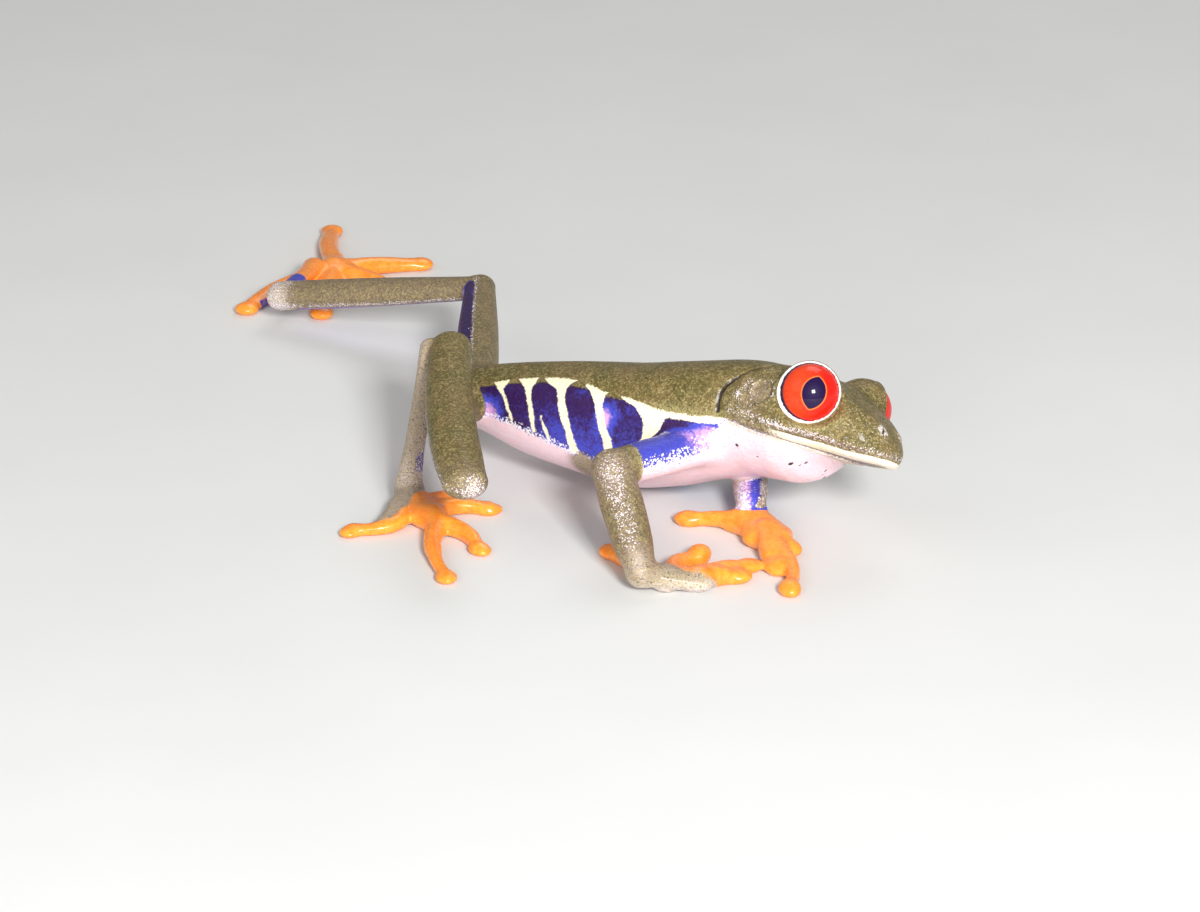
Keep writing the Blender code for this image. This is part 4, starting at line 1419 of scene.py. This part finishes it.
def iris_material(colours, grain):
    made, n, shader = new_material("iris")
    place = n.add("ShaderNodeTexCoord").outputs["Object"]
    grains = n.group(grain, Vector=place, Granules_per_mm=7.0, Slow_per_mm=1.2)
    out, pupil = n.value("out"), n.value("pupil")
    shade = n.plus(n.value("fore"), n.minus(grains["Slow"], 0.5), 1.6)
    colour = n.over(colours.iris_orange, colours.iris_red, shade, -1.8, 1.6)
    colour = n.over(colour, colours.iris_dark, grains["Random"], 0.6, 1.0, 0.35)
    colour = n.over(colour, colours.iris_ring, pupil, -0.16, -0.06)
    colour = n.over(colour, colours.pupil, out, 2.7, 2.8)
    colour = n.over(colour, colours.pupil, pupil, -0.04, 0.03)
    n.fill(shader, {
        "Base Color": colour,
        "Roughness": 0.5,
        "Specular IOR Level": 0.1,
        "Coat Weight": n.times(n.smooth(out, 2.9, 2.4), 0.5),
        "Coat Roughness": 0.03,
    })
    return made


PLAIN_LEVELS = 8


def plainness(frog, points):
    """1 where the skin may be thinned, 0 on the head and wherever a marking ends."""
    ahead = of_head(points)[:, 0]
    found = mark(frog, points)
    near = np.full(len(points), 9.0)
    for name in ("olive", "bars", "belly", "orange"):
        near = np.minimum(near, np.abs(found[name]))
    plain = 0.05 + 0.85 * rise(near, 0.35, 1.0)
    return np.where(ahead > -3.0, np.minimum(plain, 1.0 - rise(ahead, -3.0, 0.0) * 0.95), plain)


def make_skin(sizes, colours):
    frog = Frog(sizes)
    step = sizes.grid / MM
    low = np.array(CAD_BOX[0]) / MM - SHIFT - 1.0
    high = np.array(CAD_BOX[1]) / MM - SHIFT + 1.0
    values = sample(frog, step, low, high)
    points, faces = net_over(values, low, step)
    points = settle(frog, points)
    skin = mesh_of("skin", points, faces)
    group = skin.vertex_groups.new(name="plain")
    plain = plainness(frog, points)
    levels = (plain * (PLAIN_LEVELS - 0.001)).astype(int)
    for level in np.unique(levels):
        group.add(np.nonzero(levels == level)[0].tolist(), level / (PLAIN_LEVELS - 1), "REPLACE")
    thin = skin.modifiers.new("thin", "DECIMATE")
    thin.ratio = min(1.0, 0.97 * sizes.most_triangles / (2 * len(faces)))
    thin.vertex_group = "plain"
    thin.vertex_group_factor = sizes.plain_share
    apply_modifiers(skin)
    skin.vertex_groups.clear()
    mesh = skin.data
    mesh.shade_smooth()
    for name, found in mark(frog, points_of(mesh)).items():
        set_values(mesh, name, found)
    mesh.materials.append(skin_material(colours, grain_group()))
    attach(skin, "root")
    flesh = [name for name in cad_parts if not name.startswith("eye_")]
    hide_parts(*flesh)
    return skin


def granule_tree():
    """Geometry nodes that scatter small beads where an attribute of the skin is high."""
    tree = bpy.data.node_groups.new("Scattered granules", "GeometryNodeTree")

    def socket(name, kind, way="INPUT", value=None):
        made = tree.interface.new_socket(name=name, in_out=way, socket_type=kind)
        if value is not None:
            made.default_value = value

    socket("Skin", "NodeSocketGeometry")
    # The beads follow the pale value, the same one that sets the painted glints.
    socket("Attribute", "NodeSocketString", value="pale")
    socket("From", "NodeSocketFloat", value=0.25)
    socket("Per square metre", "NodeSocketFloat", value=1.0e7)
    socket("Smallest", "NodeSocketFloat", value=0.00003)
    socket("Largest", "NodeSocketFloat", value=0.00007)
    socket("Sink", "NodeSocketFloat", value=-0.00002)
    socket("Seed", "NodeSocketInt", value=7)
    socket("Material", "NodeSocketMaterial")
    socket("Granules", "NodeSocketGeometry", "OUTPUT")

    def add(kind, **values):
        node = tree.nodes.new(kind)
        for name, value in values.items():
            setattr(node, name, value)
        return node

    given = add("NodeGroupInput").outputs
    result = add("NodeGroupOutput")
    read = add("GeometryNodeInputNamedAttribute", data_type="FLOAT")
    above = add("ShaderNodeMath", operation="SUBTRACT", use_clamp=True)
    dense = add("ShaderNodeMath", operation="MULTIPLY")
    spread = add("GeometryNodeDistributePointsOnFaces", distribute_method="RANDOM")
    sunk = add("ShaderNodeVectorMath", operation="SCALE")
    moved = add("GeometryNodeSetPosition")
    size = add("FunctionNodeRandomValue", data_type="FLOAT")
    bead = add("GeometryNodeMeshIcoSphere")
    placed = add("GeometryNodeInstanceOnPoints")
    real = add("GeometryNodeRealizeInstances")
    smooth = add("GeometryNodeSetShadeSmooth")
    painted = add("GeometryNodeSetMaterial")
    bead.inputs["Radius"].default_value = 1.0
    bead.inputs["Subdivisions"].default_value = 2
    lowest, highest = [one for one in size.inputs if one.enabled and one.name in ("Min", "Max")]
    for source, target in (
        (given["Attribute"], read.inputs["Name"]),
        (read.outputs[0], above.inputs[0]),
        (given["From"], above.inputs[1]),
        (above.outputs[0], dense.inputs[0]),
        (given["Per square metre"], dense.inputs[1]),
        (given["Skin"], spread.inputs["Mesh"]),
        (dense.outputs[0], spread.inputs["Density"]),
        (given["Seed"], spread.inputs["Seed"]),
        (spread.outputs["Points"], moved.inputs["Geometry"]),
        (spread.outputs["Normal"], sunk.inputs[0]),
        (given["Sink"], sunk.inputs["Scale"]),
        (sunk.outputs[0], moved.inputs["Offset"]),
        (given["Smallest"], lowest),
        (given["Largest"], highest),
        (given["Seed"], size.inputs["Seed"]),
        (moved.outputs[0], placed.inputs["Points"]),
        (bead.outputs["Mesh"], placed.inputs["Instance"]),
        (spread.outputs["Rotation"], placed.inputs["Rotation"]),
        ([one for one in size.outputs if one.enabled][0], placed.inputs["Scale"]),
        (placed.outputs[0], real.inputs[0]),
        (real.outputs[0], smooth.inputs[0]),
        (smooth.outputs[0], painted.inputs["Geometry"]),
        (given["Material"], painted.inputs["Material"]),
        (painted.outputs[0], result.inputs["Granules"]),
    ):
        tree.links.new(source, target)
    return tree


def make_granules(skin, colours):
    made, n, shader = new_material("wet_granule")
    place = n.add("ShaderNodeTexCoord").outputs["Object"]
    n.fill(shader, {
        # The beads are real geometry, coloured between the painted glint colour and the pale stipple.
        "Base Color": n.mix(n.noise(place, 1500.0), colours.painted_glint, colours.stipple),
        "Roughness": 0.25,
    })
    granules = bpy.data.objects.new("granules", skin.data.copy())
    bpy.context.scene.collection.objects.link(granules)
    scatter = granules.modifiers.new("scatter", "NODES")
    scatter.node_group = granule_tree()
    for item in scatter.node_group.interface.items_tree:
        if item.in_out == "INPUT" and item.name == "Material":
            scatter[item.identifier] = made
    apply_modifiers(granules)
    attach(granules, "root")
    return granules


def sphere_of(eye):
    """Points and triangles of the eyeball, its pole the way the eye looks."""
    rings, turns = EYE_MESH
    points = [eye.look * eye.radius]
    for k in range(1, rings):
        a = math.pi * k / rings
        for m in range(turns):
            b = 2 * math.pi * m / turns
            around = eye.fore * math.cos(b) + eye.up * math.sin(b)
            points.append(eye.radius * (eye.look * math.cos(a) + math.sin(a) * around))
    points.append(-eye.look * eye.radius)
    faces = []
    for m in range(turns):
        after = (m + 1) % turns
        faces.append((0, 1 + m, 1 + after))
        for k in range(rings - 2):
            a, b = 1 + k * turns, 1 + (k + 1) * turns
            faces += [(a + m, b + m, b + after), (a + m, b + after, a + after)]
        a = 1 + (rings - 2) * turns
        faces.append((a + m, len(points) - 1, a + after))
    points, faces = np.array(points) + eye.middle, np.array(faces)
    corner = points[faces[0]]
    outward = np.cross(corner[1] - corner[0], corner[2] - corner[0]) @ eye.look > 0
    return points, faces if outward else faces[:, ::-1]


def iris_marks(eye, points):
    """Toward the snout and out from the iris's middle, and the distance inside the pupil's lens, in mm."""
    out, fore, up = eye.coordinates(points)
    fore = fore - 0.12
    (ahead, over), (wide, tall), lean = PUPIL_AT, PUPIL_HALF, math.radians(PUPIL_LEAN)
    x = (fore - ahead) * math.cos(lean) - (up - over) * math.sin(lean)
    y = (fore - ahead) * math.sin(lean) + (up - over) * math.cos(lean)
    big = (tall**2 + wide**2) / (2 * wide)
    lens = np.minimum(big - np.hypot(x + big - wide, y), big - np.hypot(x - big + wide, y))
    return {
        "fore": fore,
        "out": np.where(out > 0, np.hypot(fore - 0.08, up), 3.0),
        "pupil": np.where(out > 0, lens, -2.0),
    }


def make_eyes(sizes, colours):
    paint = iris_material(colours, grain_group())
    for word in ("right", "left"):
        eye = Eye(word, sizes)
        points, faces = sphere_of(eye)
        ball = mesh_of("eyeball_" + word, points, faces)
        for name, values in iris_marks(eye, points).items():
            set_values(ball.data, name, values)
        ball.data.materials.append(paint)
        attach(ball, "root")
        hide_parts("eye_" + word)


def toward(azimuth, elevation):
    """The way out to a camera or light, in radians round and over the frog."""
    level = math.cos(elevation)
    return Vector((math.sin(azimuth) * level, -math.cos(azimuth) * level, math.sin(elevation)))


def placed(name, data, middle, azimuth, elevation, distance):
    """An object that looks at the middle from a distance."""
    made = bpy.data.objects.new(name, data)
    bpy.context.scene.collection.objects.link(made)
    way = toward(azimuth, elevation)
    made.location = middle + way * distance
    made.rotation_mode = "QUATERNION"
    made.rotation_quaternion = (-way).to_track_quat("-Z", "Y")
    return made


def make_floor():
    data = bpy.data.meshes.new("floor")
    corners = [(x * FLOOR_HALF, y * FLOOR_HALF, 0) for x, y in ((-1, -1), (1, -1), (1, 1), (-1, 1))]
    data.from_pydata(corners, [], [(0, 1, 2, 3)])
    floor = bpy.data.objects.new("floor", data)
    bpy.context.scene.collection.objects.link(floor)
    made, n, shader = new_material("pale_floor")
    place = n.add("ShaderNodeTexCoord").outputs["Object"]
    n.fill(shader, {"Base Color": n.mix(n.noise(place, 40.0), *FLOOR_GREYS), "Roughness": 0.7})
    data.materials.append(made)


def make_light():
    world = bpy.data.worlds.new("studio")
    world.use_nodes = True
    background = world.node_tree.nodes["Background"].inputs
    background["Color"].default_value, background["Strength"].default_value = SKY
    bpy.context.scene.world = world
    for name, azimuth, elevation, distance, wide, power in LIGHTS:
        light = bpy.data.lights.new(name, "AREA")
        light.size = wide
        light.energy = power
        lamp = placed(name, light, LIT, math.radians(azimuth), math.radians(elevation), distance)
        lamp.visible_glossy = name != "front"


def make_camera(view):
    data = bpy.data.cameras.new("camera")
    data.sensor_width = 36.0
    data.sensor_fit = "HORIZONTAL"
    data.lens = view.focal_length
    data.clip_start, data.clip_end = 0.02, 50.0
    middle = Vector(SHIFT * MM)
    bpy.context.scene.camera = placed("camera", data, middle, view.azimuth, view.elevation, view.distance)
    bpy.context.scene.view_settings.view_transform = "Standard"


def length(name, text, value):
    return bpy.props.FloatProperty(name=name, description=text, default=value, unit="LENGTH", precision=5)


def number(name, text, value, **more):
    return bpy.props.FloatProperty(name=name, description=text, default=value, **more)


def colour(name, text, value):
    return bpy.props.FloatVectorProperty(
        name=name, description=text, default=(*value, 1.0), size=4, subtype="COLOR", min=0.0, max=1.0
    )


class FrogSizes(bpy.types.PropertyGroup):
    grid: length("Grid", "Spacing of the grid that the skin is drawn over", 0.00017)
    most_triangles: bpy.props.IntProperty(
        name="Most triangles", description="Triangles kept in the skin", default=192000
    )
    plain_share: number(
        "Plain share", "How strongly thinning spares the head and the markings", 2.5e-6, precision=8
    )
    eye_radius: length("Eye radius", "Radius of each eyeball", 0.00292)
    lid_radius: length("Lid radius", "Radius of the lids round the eyeball", 0.0031)
    lid_opening: length("Lid opening", "How far out from the eye's middle the lids stop", 0.00085)


class FrogColours(bpy.types.PropertyGroup):
    olive: colour("Olive", "Back and limbs", (0.104, 0.084, 0.018))
    olive_brown: colour("Olive brown", "Browner patches of the back", (0.165, 0.112, 0.036))
    olive_light: colour("Olive light", "Tops of the granules", (0.46, 0.36, 0.15))
    # Darkest olive: the flank's olive edge, and painted shade between the granules.
    olive_dark_and_gap_shade: colour("Olive dark", "Between the granules", (0.022, 0.017, 0.003))
    grey: colour("Grey", "Greyer skin of the tarsus, lip and eardrum", (0.24, 0.175, 0.125))
    ash: colour("Ash", "Palest grey skin of the tarsus, the heel and the hand", (0.56, 0.46, 0.38))
    stain: colour("Stain", "Brownish skin behind the arm", (0.36, 0.26, 0.20))
    pale_yellow: colour("Pale yellow", "Lighter skin under the eye and on the forearm", (0.62, 0.56, 0.26))
    # The colour of the painted glints: painted highlights on the granules, flecks on the lid's rim, and
    # part of the beads' colour.
    painted_glint: colour("Silver", "Wet glints on the granules", (0.72, 0.64, 0.68))
    purple: colour("Purple", "Upper flank", (0.026, 0.004, 0.066))
    blue: colour("Blue", "Lower flank and upper arm", (0.048, 0.058, 0.46))
    pink: colour("Pink", "Blotches on the flank", (0.66, 0.36, 0.62))
    stipple: colour("Stipple", "Pale granules along the flank's lower edge", (0.86, 0.82, 0.92))
    cream: colour("Cream", "Bars on the flank", (0.90, 0.83, 0.58))
    belly: colour("Belly", "Belly and throat", (0.81, 0.68, 0.76))
    belly_pink: colour("Belly pink", "Pinker belly", (0.87, 0.60, 0.66))
    lip: colour("Lip", "Edge of the upper lip", (0.90, 0.80, 0.68))
    lid: colour("Lid", "Pale rim of the eye", (0.92, 0.88, 0.84))
    orange: colour("Orange", "Hands and feet", (0.96, 0.245, 0.020))
    orange_light: colour("Orange light", "Lighter orange", (0.97, 0.34, 0.040))
    # Painted shade: the hollows of the hands and feet and the gaps between their granules.
    orange_hollow_shade: colour("Orange deep", "Hollows of the hands and feet", (0.64, 0.085, 0.010))
    # Painted shade for the folds, the nostril's slit, the eardrum's edge and the mouth; also the colour of
    # the real dark specks.
    crease_shade_and_speck: colour("Crease", "Folds and specks", (0.022, 0.014, 0.010))
    iris_red: colour("Iris red", "Front of the iris", (0.65, 0.009, 0.003))
    iris_orange: colour("Iris orange", "Rear of the iris", (0.69, 0.052, 0.011))
    iris_dark: colour("Iris dark", "Fine marks in the iris", (0.45, 0.012, 0.008))
    iris_ring: colour("Iris ring", "Thin ring round the pupil", (0.86, 0.16, 0.03))
    pupil: colour("Pupil", "Pupil and the dark ring of the iris", (0.010, 0.002, 0.036))


class FrogView(bpy.types.PropertyGroup):
    azimuth: number("Azimuth", "Turn of the camera round the frog", math.radians(28), subtype="ANGLE")
    elevation: number(
        "Elevation", "Height of the camera over the horizon", math.radians(22), subtype="ANGLE"
    )
    distance: length("Distance", "From the camera to the frog", 0.42)
    focal_length: number("Focal length", "Lens of the camera", 122.47, unit="CAMERA")


class FROG_OT_stage(bpy.types.Operator):
    """Adds the floor, the studio light and the camera."""

    bl_idname = "frog.stage"
    bl_label = "Stage"

    def execute(self, context):
        make_floor()
        make_light()
        make_camera(context.scene.frog_view)
        return {"FINISHED"}


class FROG_OT_skin(bpy.types.Operator):
    """Draws the whole skin over its distance field and marks it."""

    bl_idname = "frog.skin"
    bl_label = "Skin"

    def execute(self, context):
        skin = make_skin(context.scene.frog_sizes, context.scene.frog_colours)
        if len(skin.data.polygons) < 1000:
            raise RuntimeError("the skin came out empty")
        return {"FINISHED"}


class FROG_OT_granules(bpy.types.Operator):
    """Scatters wet granules over the knee, heel, forearm and cheek."""

    bl_idname = "frog.granules"
    bl_label = "Granules"

    def execute(self, context):
        skin = bpy.data.objects.get("skin")
        if skin is None:
            raise RuntimeError("the granules need the skin first")
        granules = make_granules(skin, context.scene.frog_colours)
        if not len(granules.data.polygons):
            raise RuntimeError("no granule was placed")
        return {"FINISHED"}


class FROG_OT_eyes(bpy.types.Operator):
    """Adds the eyeballs with iris and pupil."""

    bl_idname = "frog.eyes"
    bl_label = "Eyes"

    def execute(self, context):
        make_eyes(context.scene.frog_sizes, context.scene.frog_colours)
        return {"FINISHED"}


class FROG_PT_panel(bpy.types.Panel):
    bl_label = "Tree frog"
    bl_idname = "FROG_PT_panel"
    bl_space_type = "VIEW_3D"
    bl_region_type = "UI"
    bl_category = "Tree frog"

    def draw(self, context):
        for name in ("frog.stage", "frog.skin", "frog.granules", "frog.eyes"):
            self.layout.operator(name)
        for group in (context.scene.frog_sizes, context.scene.frog_colours, context.scene.frog_view):
            box = self.layout.box()
            for key in group.__annotations__:
                box.prop(group, key)


CLASSES = (
    FrogSizes,
    FrogColours,
    FrogView,
    FROG_OT_stage,
    FROG_OT_skin,
    FROG_OT_granules,
    FROG_OT_eyes,
    FROG_PT_panel,
)


def register():
    for one in CLASSES:
        bpy.utils.register_class(one)
    bpy.types.Scene.frog_sizes = bpy.props.PointerProperty(type=FrogSizes)
    bpy.types.Scene.frog_colours = bpy.props.PointerProperty(type=FrogColours)
    bpy.types.Scene.frog_view = bpy.props.PointerProperty(type=FrogView)


def unregister():
    del bpy.types.Scene.frog_view
    del bpy.types.Scene.frog_colours
    del bpy.types.Scene.frog_sizes
    for one in reversed(CLASSES):
        bpy.utils.unregister_class(one)


def main():
    register()
    for name in ("stage", "skin", "granules", "eyes"):
        getattr(bpy.ops.frog, name)()


if __name__ == "__main__":
    main()
